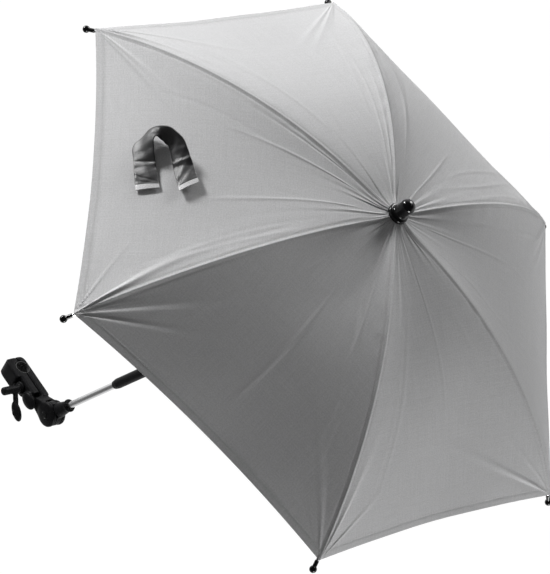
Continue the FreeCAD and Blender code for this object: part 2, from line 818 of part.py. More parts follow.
tongue = body("tilt_tongue", HEAD)
drawn = disc(tongue, "tilt_disc", "XZ_Plane", [(ZERO, ZERO, D["tilt_disc_radius"])])
pad(tongue, drawn, D["tilt_disc_width"], both=True)
half_neck = D["tilt_neck_width"] / 2
neck = [(-half_neck, ZERO), (half_neck, ZERO), (half_neck, D["tilt_seat"]), (-half_neck, D["tilt_seat"])]
pad(tongue, outline(tongue, "tilt_neck", "XZ_Plane", neck), D["tilt_disc_width"], both=True)
turned = [
    (ZERO, D["tilt_collar_base"]),
    (D["tilt_collar_radius"], D["tilt_collar_base"]),
    (D["tilt_collar_radius"], D["tilt_collar_top"] - D["jaw_edge"]),
    (D["tilt_collar_radius"] - D["jaw_edge"], D["tilt_collar_top"]),
    (ZERO, D["tilt_collar_top"]),
]
spin(tongue, outline(tongue, "tilt_collar", "XZ_Plane", turned), "Z_Axis")
hole = disc(tongue, "tilt_bore", "XY_Plane", [(ZERO, ZERO, TUBE_FIT)], D["tilt_seat"])
pocket(tongue, hole, D["tilt_collar_top"] - D["tilt_seat"] + OVER, back=True)
hole = disc(tongue, "tilt_pin_hole", "XZ_Plane", [(ZERO, ZERO, PIN + D["running_gap"])])
pocket(tongue, hole, D["tilt_disc_width"] + OVER, both=True)

CROWN = D["apex_height"] - D["crown_drop"]
tube("upper_tube", HEAD, D["tilt_seat"], CROWN + D["crown_tube_rise"])

CROWN_PLACE = HEAD * Placement(Vector(0, 0, CROWN_Z), Rotation())
crown = body("crown", CROWN_PLACE)
turned = [
    (ZERO, -D["crown_below"] - D["crown_neck_length"]),
    (D["crown_neck_radius"], -D["crown_below"] - D["crown_neck_length"]),
    (D["crown_neck_radius"], -D["crown_below"] - D["jaw_edge"]),
    (D["crown_slot_root"] + D["jaw_edge"] * 2, -D["crown_below"]),
    (D["crown_radius"], -D["crown_below"]),
    (D["crown_radius"], D["crown_above"]),
    (ZERO, D["crown_above"]),
]
spin(crown, outline(crown, "crown_half", "XZ_Plane", turned), "Z_Axis")
WIRE = D["ring_wire"] / 2
groove = [
    (D["crown_groove_root"], -WIRE - D["press_gap"]),
    (D["crown_groove_rim"], -WIRE - D["press_gap"]),
    (D["crown_groove_rim"], D["crown_above"] + OVER),
    (D["crown_groove_root"], D["crown_above"] + OVER),
]
spin(crown, outline(crown, "crown_groove", "XZ_Plane", groove), "Z_Axis", cut=True)
hole = disc(crown, "crown_bore", "XY_Plane", [(ZERO, ZERO, TUBE_FIT)], D["crown_tube_rise"])
pocket(crown, hole, D["crown_tube_rise"] + D["crown_below"] + D["crown_neck_length"] + OVER)
hole = disc(crown, "crown_stud", "XY_Plane", [(ZERO, ZERO, D["finial_stud_radius"] + D["press_gap"])])
pocket(crown, hole, D["crown_above"] + OVER, back=True)
half_slot = D["rib_slot"] / 2
cut = [
    (D["crown_slot_root"], -half_slot),
    (D["crown_radius"] + OVER, -half_slot),
    (D["crown_radius"] + OVER, half_slot),
    (D["crown_slot_root"], half_slot),
]
slot = outline(crown, "crown_slot", "XY_Plane", cut, -D["crown_below"] - OVER)
first = pocket(crown, slot, D["crown_below"] + D["crown_above"] + OVER * 2, back=True)
around(crown, first, "Z_Axis", RIB_COUNT)
RING_TURN = Placement(Vector(0, 0, 0), Rotation(Vector(0, 0, 1), FIRST_RIB))
crown.Placement = CROWN_PLACE * RING_TURN

ring = body("crown_ring", CROWN_PLACE * RING_TURN)
side = D["pivot_radius"] * math.tan(math.pi / RIB_COUNT) * 2.0
drawn = disc(ring, "crown_ring_wire", "XZ_Plane", [(D["pivot_radius"], ZERO, WIRE)])
link = pad(ring, drawn, side + WIRE, both=True)
around(ring, link, "Z_Axis", RIB_COUNT)

washer = body("crown_washer", HEAD)
washer_low = CROWN + D["crown_above"]
inner = D["finial_stud_radius"] + D["press_gap"]
rounds = [(ZERO, ZERO, D["washer_radius"]), (ZERO, ZERO, inner)]
face = disc(washer, "crown_washer_face", "XY_Plane", rounds, washer_low)
pad(washer, face, D["washer_thick"])

finial = body("finial", HEAD)
foot = D["finial_foot"]
dome = foot + D["finial_height"]
neck_low = foot + D["finial_flange_height"]
turned = [
    (ZERO, CROWN + D["crown_tube_rise"] + D["press_gap"]),
    (D["finial_stud_radius"], CROWN + D["crown_tube_rise"] + D["press_gap"]),
    (D["finial_stud_radius"], foot),
    (D["finial_flange_radius"], foot),
    (D["finial_flange_radius"], neck_low),
    (D["finial_neck_radius"], neck_low),
    (D["finial_dome_radius"], dome),
    (ZERO, dome),
]
solid = spin(finial, outline(finial, "finial_half", "XZ_Plane", turned), "Z_Axis")


def is_ring(edge, radius, height):
    """Full circle of a radius round the pole at a height."""
    curve = edge.Curve
    if not isinstance(curve, Part.Circle):
        return False
    near = v("press_gap")
    return abs(curve.Radius - number(radius)) < near and abs(curve.Center.z - number(height)) < near


solid = rounding(
    finial, solid, D["finial_flange_round"], lambda edge: is_ring(edge, D["finial_flange_radius"], neck_low)
)
solid = rounding(
    finial, solid, D["finial_foot_round"], lambda edge: is_ring(edge, D["finial_neck_radius"], neck_low)
)
rounding(finial, solid, D["finial_dome_round"], lambda edge: is_ring(edge, D["finial_dome_radius"], dome))

# Runner with open notches for the stretchers' trunnions

RUNNER_PLACE = HEAD * Placement(Vector(0, 0, RUNNER_Z), Rotation()) * RING_TURN
runner = body("runner", RUNNER_PLACE)
bore = TUBE + D["running_gap"]
lip = D["jaw_edge"]
turned = [
    (bore, -D["runner_below"]),
    (D["runner_root_radius"], -D["runner_below"]),
    (D["runner_root_radius"], -D["runner_flange_below"]),
    (D["runner_flange_radius"], -D["runner_flange_below"]),
    (D["runner_flange_radius"], D["runner_flange_above"] - lip),
    (D["runner_flange_radius"] - lip, D["runner_flange_above"]),
    (D["runner_grip_radius"], D["runner_flange_above"]),
    (D["runner_grip_radius"], D["runner_above"]),
    (bore, D["runner_above"]),
]
spin(runner, outline(runner, "runner_half", "XZ_Plane", turned), "Z_Axis")
root = D["runner_root_radius"] - D["free_gap"]
cut = [
    (root, -half_slot),
    (D["runner_flange_radius"] + OVER, -half_slot),
    (D["runner_flange_radius"] + OVER, half_slot),
    (root, half_slot),
]
slot = outline(runner, "runner_slot", "XY_Plane", cut, -D["runner_flange_below"] - OVER)
deep = D["runner_flange_below"] + D["runner_flange_above"] + OVER
first = pocket(runner, slot, deep, back=True)
around(runner, first, "Z_Axis", RIB_COUNT)
reach = D["trunnion_diameter"] / 2 + D["free_gap"]
notch = [
    (D["pivot_radius"] - reach, -D["runner_flange_below"] - OVER),
    (D["pivot_radius"] + reach + D["notch_flare"], -D["runner_flange_below"] - OVER),
    (D["pivot_radius"] + reach, reach),
    (D["pivot_radius"] - reach, reach),
]
drawn = outline(runner, "runner_notch", "XZ_Plane", notch)
first = pocket(runner, drawn, D["trunnion_length"] + D["free_gap"] * 2, both=True)
around(runner, first, "Z_Axis", RIB_COUNT)

# Ribs, ball tips, rivets and stretchers

EYE_HALF = D["rib_plate"]
RIVET = D["rivet_diameter"] / 2


def make_rib(index):
    tag = str(index + 1)
    arch = DOC.addObject("Part::Torus", "rib_arch_" + tag)
    bind(arch, "Radius1", D["arch_radius"])
    bind(arch, "Radius2", D["rib_wire"] / 2)
    bind(arch, "Angle3", D["wire_sweep"])
    lay = Rotation(Vector(1, 0, 0), 90) * Rotation(Vector(0, 0, 1), math.degrees(WIRE_END_ANGLE))
    arch.Placement = Placement(Vector(CENTRE_X, 0, CENTRE_Z), lay)
    eye = rod("rib_eye_" + tag, D["rib_eye_radius"], D["rib_plate"], across(0, 0, v("rib_plate")))
    start_x, start_z = on_arch(WIRE_START_ANGLE)
    slope = -math.degrees(math.atan2(start_z, start_x))
    shank_place = Placement(Vector(0, 0, 0), Rotation(Vector(0, 1, 0), slope)) * Placement(
        Vector(0, -v("rib_plate") / 2, -v("rib_plate_height") / 2), Rotation()
    )
    long = D["rib_start"] + D["rib_plate"]
    shank = block("rib_shank_" + tag, long, D["rib_plate"], D["rib_plate_height"], shank_place)
    lean = Rotation(Vector(0, 1, 0), 90 - math.degrees(SADDLE_ANGLE))
    saddle_at = Placement(Vector(SADDLE_X, 0, SADDLE_Z), lean)
    saddle_place = saddle_at * Placement(
        Vector(-v("saddle_length") / 2, -v("saddle_width") / 2, -v("saddle_foot")), Rotation()
    )
    tall = D["saddle_foot"] + D["saddle_drop"]
    saddle = block("rib_saddle_" + tag, D["saddle_length"], D["saddle_width"], tall, saddle_place)
    solid = fused("rib_solid_" + tag, [arch, eye, shank, saddle])
    hole = rod(
        "rib_hole_" + tag,
        D["ring_wire"] / 2 + D["running_gap"],
        D["saddle_width"] * 2,
        across(0, 0, v("saddle_width") * 2),
    )
    bore = rod(
        "rib_bore_" + tag,
        RIVET + D["press_gap"],
        D["saddle_width"] * 2,
        across(SADDLE_X, SADDLE_Z, v("saddle_width") * 2),
    )
    gap_place = saddle_at * Placement(
        Vector(-v("saddle_length"), -v("rib_slot") / 2, -v("saddle_foot") - v("cut_overrun")), Rotation()
    )
    high = D["saddle_foot"] + D["cut_overrun"] + D["stretcher_eye_radius"] + D["free_gap"]
    gap_cut = block("rib_gap_" + tag, D["saddle_length"] * 2, D["rib_slot"], high, gap_place)
    less("rib_" + tag, solid, [hole, bore, gap_cut], rib_place(index))


def make_tip(index):
    tag = str(index + 1)
    ball = DOC.addObject("Part::Sphere", "tip_ball_" + tag)
    bind(ball, "Radius", D["tip_radius"])
    stem_place = Placement(Vector(0, 0, -v("tip_stem_length")), Rotation())
    stem = rod("tip_stem_" + tag, D["tip_stem_radius"], D["tip_stem_length"], stem_place)
    solid = fused("tip_solid_" + tag, [ball, stem])
    bore_place = Placement(Vector(0, 0, -v("tip_stem_length") - v("cut_overrun")), Rotation())
    deep = D["tip_stem_length"] + D["cut_overrun"] - D["tip_bore_rest"] + D["free_gap"]
    bore = rod("tip_bore_" + tag, D["rib_wire"] / 2 + D["tip_bore_gap"], deep, bore_place)
    ahead = Rotation(Vector(0, 1, 0), 180 - math.degrees(ARCH_TO))
    place = rib_place(index) * Placement(Vector(TIP_X, 0, TIP_Z), ahead)
    less("rib_tip_" + tag, solid, [bore], place)


def make_rivet(index):
    tag = str(index + 1)
    at = rib_place(index) * Placement(Vector(SADDLE_X, 0, SADDLE_Z), Rotation())
    owner = body("rib_rivet_" + tag, at)
    half = D["saddle_width"] / 2
    out = half + D["rivet_head_height"]
    turned = [
        (ZERO, -out),
        (D["rivet_head_radius"], -out),
        (D["rivet_head_radius"], -half),
        (RIVET, -half),
        (RIVET, half),
        (D["rivet_head_radius"], half),
        (D["rivet_head_radius"], out),
        (ZERO, out),
    ]
    spin(owner, outline(owner, "rivet_half_" + tag, "XY_Plane", turned), "Y_Axis")


def make_stretcher(index):
    tag = str(index + 1)
    far = v("stretcher_length")
    outer = rod(
        "stretcher_outer_" + tag, D["stretcher_eye_radius"], D["rib_plate"], across(0, 0, v("rib_plate"))
    )
    inner_eye = rod(
        "stretcher_inner_" + tag, D["stretcher_height"] / 2, D["rib_plate"], across(far, 0, v("rib_plate"))
    )
    strip_place = Placement(Vector(0, -v("rib_plate") / 2, -v("stretcher_height") / 2), Rotation())
    strip = block(
        "stretcher_strip_" + tag, D["stretcher_length"], D["rib_plate"], D["stretcher_height"], strip_place
    )
    trunnion = rod(
        "stretcher_trunnion_" + tag,
        D["trunnion_diameter"] / 2,
        D["trunnion_length"],
        across(far, 0, v("trunnion_length")),
    )
    solid = fused("stretcher_solid_" + tag, [outer, inner_eye, strip, trunnion])
    hole = rod(
        "stretcher_hole_" + tag, RIVET + D["running_gap"], D["saddle_width"], across(0, 0, v("saddle_width"))
    )
    less("stretcher_" + tag, solid, [hole], stretcher_place(index))


for number_of_rib in range(RIB_COUNT):
    make_rib(number_of_rib)
    make_tip(number_of_rib)
    make_rivet(number_of_rib)
    make_stretcher(number_of_rib)

# Cloth: six gores between the ribs and the tie strap

CLOTH_END = ARCH_TO + v("cloth_corner_back") / ARCH_RADIUS
GORE_STEPS = 20
GORE_ACROSS = 8
GORE_POWER = 1.6


def cloth_line(share):
    """Radius and height of the cloth over a rib, from the finial to the corner."""
    start_x = v("cloth_hole") - v("pivot_radius")
    start = ARCH_FROM - start_x / ARCH_RADIUS
    x, z = on_arch(start + (CLOTH_END - start) * share, v("cloth_rise"))
    radius = v("pivot_radius") + x
    return radius, CROWN_Z + z + crown_lift(radius, LIFT_TOP)


def cloth_point(index, share, across_share):
    """Point of the gore between a rib and the next, in the head's frame."""
    bow = 4 * across_share * (1 - across_share)
    station = share * (1 - v("hem_curve_share") * bow)
    radius, height = cloth_line(station)
    first = math.radians(FIRST_RIB + RIB_TURN * index)
    last = first + math.radians(RIB_TURN)
    a = Vector(radius * math.cos(first), radius * math.sin(first), height)
    b = Vector(radius * math.cos(last), radius * math.sin(last), height)
    way = (b - a).normalize()
    a = a + way * v("cloth_seam_gap")
    b = b - way * v("cloth_seam_gap")
    spot = a + (b - a) * across_share
    spot.z -= v("gore_sag") * bow * math.sin(math.pi * station)
    return spot


def cloth_face(index, drop):
    grid = []
    for i in range(GORE_STEPS + 1):
        share = (i / GORE_STEPS) ** GORE_POWER
        row = [cloth_point(index, share, j / GORE_ACROSS) for j in range(GORE_ACROSS + 1)]
        grid.append([Vector(p.x, p.y, p.z - drop) for p in row])
    return spread(grid)


def spread(grid):
    """Smooth face through rows of points."""
    surface = Part.BSplineSurface()
    surface.interpolate(grid)
    return surface.toShape()


def sewn(label, top, low):
    """A cloth piece closed between its top and bottom faces."""
    faces = [top, low]
    for over, under in zip(top.Edges, low.Edges):
        faces.append(Part.makeRuledSurface(over, under))
    shell = Part.makeShell(faces)
    shell.sewShape()
    solid = Part.Solid(shell)
    if solid.Volume < 0:
        solid.reverse()
    item = DOC.addObject("Part::Feature", label)
    item.Label = item.Name
    item.Shape = solid
    item.Placement = HEAD
    NODES.append(item)


def make_gore(index):
    half = v("cloth_thick") / 2
    sewn("canopy_gore_" + str(index + 1), cloth_face(index, -half), cloth_face(index, half))


for number_of_gore in range(RIB_COUNT):
    make_gore(number_of_gore)

# The strap is one webbing bent into a loose loop. Each edge runs through places on its gore, given as shares
# along and across the gore and as a lift over the cloth in shares of the strap's width.

STRAP_GORE = 3
STRAP_OUTER_SHARES = (
    (0.8606, 0.6108, 0.0766),
    (0.8692, 0.5488, 0.1106),
    (0.8748, 0.4939, 0.1021),
    (0.8792, 0.4396, 0.1191),
    (0.8545, 0.4043, 0.1702),
    (0.8258, 0.3701, 0.3830),
    (0.7829, 0.3782, 0.8936),
    (0.7475, 0.3993, 0.9149),
    (0.7211, 0.4248, 0.7660),
    (0.6926, 0.4891, 0.3404),
    (0.6778, 0.5384, 0.2468),
    (0.6659, 0.5888, 0.2383),
)
STRAP_INNER_SHARES = (
    (0.7866, 0.6047, 0.0766),
    (0.7958, 0.5557, 0.1191),
    (0.8041, 0.5090, 0.1787),
    (0.8137, 0.4632, 0.5106),
    (0.8175, 0.4354, 0.7660),
    (0.8074, 0.4187, 0.7234),
    (0.7837, 0.4109, 0.1702),
    (0.7680, 0.4203, 0.0766),
    (0.7590, 0.4534, 0.0766),
    (0.7463, 0.5335, 0.0936),
    (0.7357, 0.5822, 0.1787),
    (0.7248, 0.6310, 0.2383),
)
STRAP_ACROSS = 4
STRAP_DEGREE = 3
along, side_share, step = v("strap_along_share"), v("strap_across_share"), v("strap_step_share")
spot = cloth_point(STRAP_GORE, along, side_share)
ahead = cloth_point(STRAP_GORE, along, side_share + step) - spot
inwards = cloth_point(STRAP_GORE, along - step, side_share) - spot
UPWARDS = ahead.cross(inwards).normalize()
if UPWARDS.z < 0:
    UPWARDS = -UPWARDS


def strap_spot(row):
    share, across_share, lift_share = row
    return cloth_point(STRAP_GORE, share, across_share) + UPWARDS * (lift_share * v("strap_width"))


def strap_grid():
    """Rows of points from the inner edge to the outer edge, along the strap."""
    grid = []
    for inner_row, outer_row in zip(STRAP_INNER_SHARES, STRAP_OUTER_SHARES):
        a, b = strap_spot(inner_row), strap_spot(outer_row)
        grid.append([a + (b - a) * (j / STRAP_ACROSS) for j in range(STRAP_ACROSS + 1)])
    return grid


def strap_face(grid, offset):
    """Face of the strap, offset along the way that its webbing looks."""
    rows = []
    for i, row in enumerate(grid):
        before, after = grid[max(i - 1, 0)], grid[min(i + 1, len(grid) - 1)]
        moved = []
        for j, point in enumerate(row):
            run = after[j] - before[j]
            width = row[min(j + 1, STRAP_ACROSS)] - row[max(j - 1, 0)]
            moved.append(point + run.cross(width).normalize() * offset)
        rows.append(moved)
    spans = len(rows) - STRAP_DEGREE
    ends = [STRAP_DEGREE + 1] + [1] * (spans - 1) + [STRAP_DEGREE + 1]
    sides = [2] + [1] * (STRAP_ACROSS - 1) + [2]
    surface = Part.BSplineSurface()
    surface.buildFromPolesMultsKnots(
        rows,
        ends,
        sides,
        [float(i) for i in range(spans + 1)],
        [float(j) for j in range(STRAP_ACROSS + 1)],
        False,
        False,
        STRAP_DEGREE,
        1,
    )
    return surface.toShape()


half = v("strap_thick") / 2
STRAP = strap_grid()
sewn("tie_strap", strap_face(STRAP, half), strap_face(STRAP, -half))

# Build, check and write every piece

DOC.recompute()
for item in DOC.Objects:
    bad = [word for word in item.State if word in ("Invalid", "Error")]
    if bad:
        raise RuntimeError(item.Name + " did not build: " + ", ".join(bad))
os.makedirs("parts", exist_ok=True)
for item in NODES:
    shape = item.Shape
    if shape.isNull() or not shape.isValid():
        raise RuntimeError(item.Label + " has no sound shape")
    if len(shape.Solids) != 1:
        raise RuntimeError(item.Label + " is " + str(len(shape.Solids)) + " solids")
    shape.exportStep("parts/" + item.Label + ".step")

print("pieces", len(NODES))
print("knuckle", round(POLE_X, 4), round(KNUCKLE_Z, 4))
print("tilt pivot", round(POLE_X, 4), round(PIVOT_Z, 4))
print("rib fold", round(math.degrees(FOLD), 5), "stretcher turn", round(math.degrees(STRETCHER_TURN), 5))
print("runner travel", round(RUNNER_TRAVEL, 5), "open at", round(RUNNER_Z, 4), "foot", D["finial_foot"].value)
for number_of_rib in range(RIB_COUNT):
    at = rib_place(number_of_rib)
    rivet = stretcher_place(number_of_rib).Base
    axis = at.Rotation.multVec(Vector(0, 1, 0))
    print(
        "rib",
        number_of_rib + 1,
        [round(c, 5) for c in at.Base],
        [round(c, 7) for c in axis],
        [round(c, 5) for c in rivet],
    )
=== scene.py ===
import json
import logging
import math
from dataclasses import dataclass, field
from enum import Enum
from typing import Any, Optional, Sequence, Union

import bmesh
import bpy
import numpy as np
from mathutils import Matrix, Vector

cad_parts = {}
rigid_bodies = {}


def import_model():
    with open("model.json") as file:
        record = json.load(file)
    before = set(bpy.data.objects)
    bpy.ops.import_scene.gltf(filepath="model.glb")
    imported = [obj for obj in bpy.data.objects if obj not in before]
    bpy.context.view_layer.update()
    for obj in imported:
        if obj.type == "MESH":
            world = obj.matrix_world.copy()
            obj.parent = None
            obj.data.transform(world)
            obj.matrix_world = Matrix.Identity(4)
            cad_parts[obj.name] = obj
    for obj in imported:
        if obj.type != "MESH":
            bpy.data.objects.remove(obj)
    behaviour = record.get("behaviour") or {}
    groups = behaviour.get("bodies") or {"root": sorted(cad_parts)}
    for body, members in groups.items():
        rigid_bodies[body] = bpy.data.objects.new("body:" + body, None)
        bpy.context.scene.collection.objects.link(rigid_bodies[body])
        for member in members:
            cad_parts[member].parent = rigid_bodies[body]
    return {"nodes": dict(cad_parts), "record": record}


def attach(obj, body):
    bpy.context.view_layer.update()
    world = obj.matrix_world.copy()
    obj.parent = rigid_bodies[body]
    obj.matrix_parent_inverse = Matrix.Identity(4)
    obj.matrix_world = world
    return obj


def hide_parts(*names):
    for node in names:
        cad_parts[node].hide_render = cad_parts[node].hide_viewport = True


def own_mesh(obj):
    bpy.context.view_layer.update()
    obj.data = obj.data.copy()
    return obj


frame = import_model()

LOG = logging.getLogger("pram_parasol")
Array = np.ndarray
Material = bpy.types.Material
Mesh = bpy.types.Mesh
Piece = bpy.types.Object
Socket = bpy.types.NodeSocket
Triple = tuple[float, float, float]
Colour = Triple
Paint = Union[Colour, Socket]


class Slot(Enum):
    """Material slots that the record names for its nodes, each with its finish."""

    BLACK_PLASTIC = "black_plastic"
    GLOSS_BLACK = "gloss_black"
    RUBBER = "rubber"
    CHROME = "chrome"
    STEEL = "steel"
    CLOTH = "cloth"


class Coord(Enum):
    """Where a finish reads its pattern from."""

    OBJECT = "Object"
    UV = "UV"
    GENERATED = "Generated"


class Side(Enum):
    """The two halves of a panel beside its rib, or the two ribs beside a gore."""

    LEFT = 0
    RIGHT = 1

    def inwards(self, across: Array) -> Array:
        """Share of the gore's width from this side's rib."""
        return across if self is Side.LEFT else 1 - across


class Value:
    """A shader socket that takes part in Python arithmetic."""

    def __init__(self, graph: "Graph", socket: Socket) -> None:
        """Keep the graph and the socket."""
        self.graph = graph
        self.socket = socket

    def _math(self, operation: str, *others: Any) -> "Value":
        """Add a Math node.

        Args:
            operation: Name of the Math operation.
            *others: Operands in order, numbers or values, self included where it belongs.

        Returns:
            The node's result.
        """
        node = self.graph.node("ShaderNodeMath", {"operation": operation}, list(others))
        return Value(self.graph, node.outputs[0])

    def __add__(self, other: Any) -> "Value":
        """Sum."""
        return self._math("ADD", self, other)

    __radd__ = __add__

    def __sub__(self, other: Any) -> "Value":
        """Difference."""
        return self._math("SUBTRACT", self, other)

    def __rsub__(self, other: Any) -> "Value":
        """Reflected difference."""
        return self._math("SUBTRACT", other, self)

    def __mul__(self, other: Any) -> "Value":
        """Product."""
        return self._math("MULTIPLY", self, other)

    __rmul__ = __mul__

    def sine(self) -> "Value":
        """Sine of the value."""
        return self._math("SINE", self)

    def most(self, other: Any) -> "Value":
        """Larger of the two."""
        return self._math("MAXIMUM", self, other)

    def step(self, low: float, high: float) -> "Value":
        """Smooth rise from 0 to 1.

        Args:
            low: Where the rise starts.
            high: Where it ends.

        Returns:
            The smoothed share.
        """
        node = self.graph.node(
            "ShaderNodeMapRange",
            {"interpolation_type": "SMOOTHSTEP"},
            {"Value": self, "From Min": low, "From Max": high, "To Min": 0.0, "To Max": 1.0},
        )
        return Value(self.graph, node.outputs[0])


class Graph:
    """Node tree of one procedural material, or of the world."""

    def __init__(self, name: str, world: Optional[bpy.types.World] = None) -> None:
        """Start an empty tree.

        Args:
            name: Name of the material.
            world: The world, where the tree lights it.
        """
        self.material = world or bpy.data.materials.new(name)
        self.material.use_nodes = True
        self.tree = self.material.node_tree
        self.tree.nodes.clear()
        self.output = self.tree.nodes.new("ShaderNodeOutputWorld" if world else "ShaderNodeOutputMaterial")

    def node(self, kind: str, settings: Optional[dict] = None, inputs: Union[dict, list, None] = None) -> Any:
        """Add a node.

        Args:
            kind: Type of the node.
            settings: Properties, set before the sockets.
            inputs: Values or links by socket name or index, or a list in socket order.

        Returns:
            The node.
        """
        made = self.tree.nodes.new(kind)
        for key, item in (settings or {}).items():
            setattr(made, key, item)
        pairs = enumerate(inputs) if isinstance(inputs, list) else (inputs or {}).items()
        for key, item in pairs:
            if isinstance(item, Value):
                item = item.socket
            if isinstance(item, Socket):
                self.tree.links.new(item, made.inputs[key])
            else:
                made.inputs[key].default_value = item
        return made

    def coords(self, kind: Coord) -> Socket:
        """Coordinates that patterns are read from."""
        return self.node("ShaderNodeTexCoord").outputs[kind.value]

    def scaled(self, vector: Socket, scale: Triple) -> Socket:
        """Stretch coordinates along their axes."""
        return self.node("ShaderNodeMapping", None, {"Vector": vector, "Scale": scale}).outputs[0]

    def split(self, vector: Socket) -> list[Value]:
        """The three numbers of a vector."""
        made = self.node("ShaderNodeSeparateXYZ", None, [vector])
        return [Value(self, out) for out in made.outputs]

    def noise(self, vector: Socket, scale: float, detail: float) -> Value:
        """Soft noise about 0.5.

        Args:
            vector: Coordinates in metres.
            scale: Spots per metre.
            detail: Number of finer layers.

        Returns:
            The noise as a value.
        """
        made = self.node("ShaderNodeTexNoise", None, {"Vector": vector, "Scale": scale, "Detail": detail})
        return Value(self, made.outputs["Fac"])

    def attribute(self, name: str) -> Value:
        """A number stored on the mesh."""
        return Value(self, self.node("ShaderNodeAttribute", {"attribute_name": name}).outputs["Fac"])

    def blend(self, share: Value, first: Paint, second: Paint) -> Socket:
        """Colour between two colours.

        Args:
            share: 0 for the first colour and 1 for the second.
            first: Linear red, green and blue, or a colour socket.
            second: Linear red, green and blue, or a colour socket.

        Returns:
            The mixed colour.
        """
        ends = [(*end, 1.0) if isinstance(end, tuple) else end for end in (first, second)]
        made = self.node("ShaderNodeMix", {"data_type": "RGBA"}, {0: share, 6: ends[0], 7: ends[1]})
        return made.outputs[2]

    def bump(self, height: Value, depth: float) -> Socket:
        """Normal of a surface raised by height times depth metres."""
        sizes = {"Height": height, "Distance": depth, "Strength": 1.0}
        return self.node("ShaderNodeBump", None, sizes).outputs[0]

    def surface(self, **inputs: Any) -> Material:
        """Finish the material with one Principled shader.

        Args:
            **inputs: Socket values or links, with spaces in socket names written as underscores.

        Returns:
            The material.
        """
        named = {key.replace("_", " "): item for key, item in inputs.items()}
        made = self.node("ShaderNodeBsdfPrincipled", None, named)
        self.tree.links.new(made.outputs[0], self.output.inputs[0])
        return self.material


def tint(colour: Colour, share: float) -> Colour:
    """Colour made lighter or darker by a share."""
    return tuple(min(1.0, part * share) for part in colour)


@dataclass(frozen=True)
class MouldedPlastic:
    """Injection moulded plastic with a fine spark grain and faint handling marks."""

    name: str
    colour: Colour
    rough: float
    grain: float
    shine: float

    def make(self) -> Material:
        """Build the material."""
        graph = Graph(self.name)
        at = graph.coords(Coord.OBJECT)
        cloud = graph.noise(at, scale=45.0, detail=3.0)
        spark = graph.noise(at, scale=2600.0, detail=2.0)
        scuff = graph.noise(graph.scaled(at, (1.0, 6.0, 1.6)), scale=160.0, detail=5.0).step(0.58, 0.78)
        colour = graph.blend(cloud.step(0.3, 0.7) * 0.7 + scuff * 0.3, self.colour, tint(self.colour, 1.7))
        return graph.surface(
            Base_Color=colour,
            Roughness=self.rough + 0.1 * (cloud - 0.5) + 0.12 * scuff,
            Specular_IOR_Level=self.shine,
            Normal=graph.bump(spark + 0.25 * cloud, self.grain),
        )


@dataclass(frozen=True)
class PlatedTube:
    """Polished plating with a breath of haze and long darker streaks along the tube, which are partly drawn
    lines and partly a painted reflection of dark surroundings.
    """

    name: str
    colour: Colour

    def make(self) -> Material:
        """Build the material."""
        graph = Graph(self.name)
        at = graph.coords(Coord.OBJECT)
        lines = graph.noise(graph.scaled(at, (1.0, 1.0, 0.012)), scale=5200.0, detail=2.0)
        # painted reflection: the long darker streaks below stand in for dark surroundings mirrored along the
        # tube, as well as for drawn lines
        streak = graph.noise(graph.scaled(at, (1.0, 1.0, 0.004)), scale=330.0, detail=1.0)
        haze = graph.noise(at, scale=28.0, detail=4.0)
        share = 0.85 * streak.step(0.42, 0.6) + 0.15 * haze
        return graph.surface(
            Base_Color=graph.blend(share, self.colour, tint(self.colour, 0.6)),
            Metallic=1.0,
            Roughness=0.15 + 0.12 * haze + 0.06 * lines,
            Normal=graph.bump(lines, 0.000004),
        )


@dataclass(frozen=True)
class DrawnSteel:
    """Bright drawn steel wire and pressed strip with a dull oxide bloom."""

    name: str
    colour: Colour
    rough: float

    def make(self) -> Material:
        """Build the material."""
        graph = Graph(self.name)
        at = graph.coords(Coord.OBJECT)
        bloom = graph.noise(at, scale=70.0, detail=4.0)
        streak = graph.noise(at, scale=2400.0, detail=1.0)
        return graph.surface(
            Base_Color=graph.blend(bloom.step(0.45, 0.8), self.colour, tint(self.colour, 0.72)),
            Metallic=1.0,
            Roughness=self.rough + 0.22 * bloom.step(0.4, 0.8),
            Normal=graph.bump(streak + bloom, 0.00002),
        )


@dataclass(frozen=True)
class PadRubber:
    """Soft black rubber with grip ribs across the bore."""

    name: str
    colour: Colour
    rib_pitch: float = 0.0026
    lean: float = math.radians(26.0)

    def make(self) -> Material:
        """Build the material."""
        graph = Graph(self.name)
        at = graph.coords(Coord.OBJECT)
        x, _, z = graph.split(at)
        along = z * math.cos(self.lean) - x * math.sin(self.lean)
        ribs = (along * (2 * math.pi / self.rib_pitch)).sine()
        dust = graph.noise(at, scale=420.0, detail=3.0)
        return graph.surface(
            Base_Color=graph.blend(dust.step(0.45, 0.75), self.colour, tint(self.colour, 1.9)),
            Roughness=0.74 + 0.14 * dust,
            Normal=graph.bump(ribs.step(-0.4, 0.6) + 0.2 * dust, 0.0002),
        )


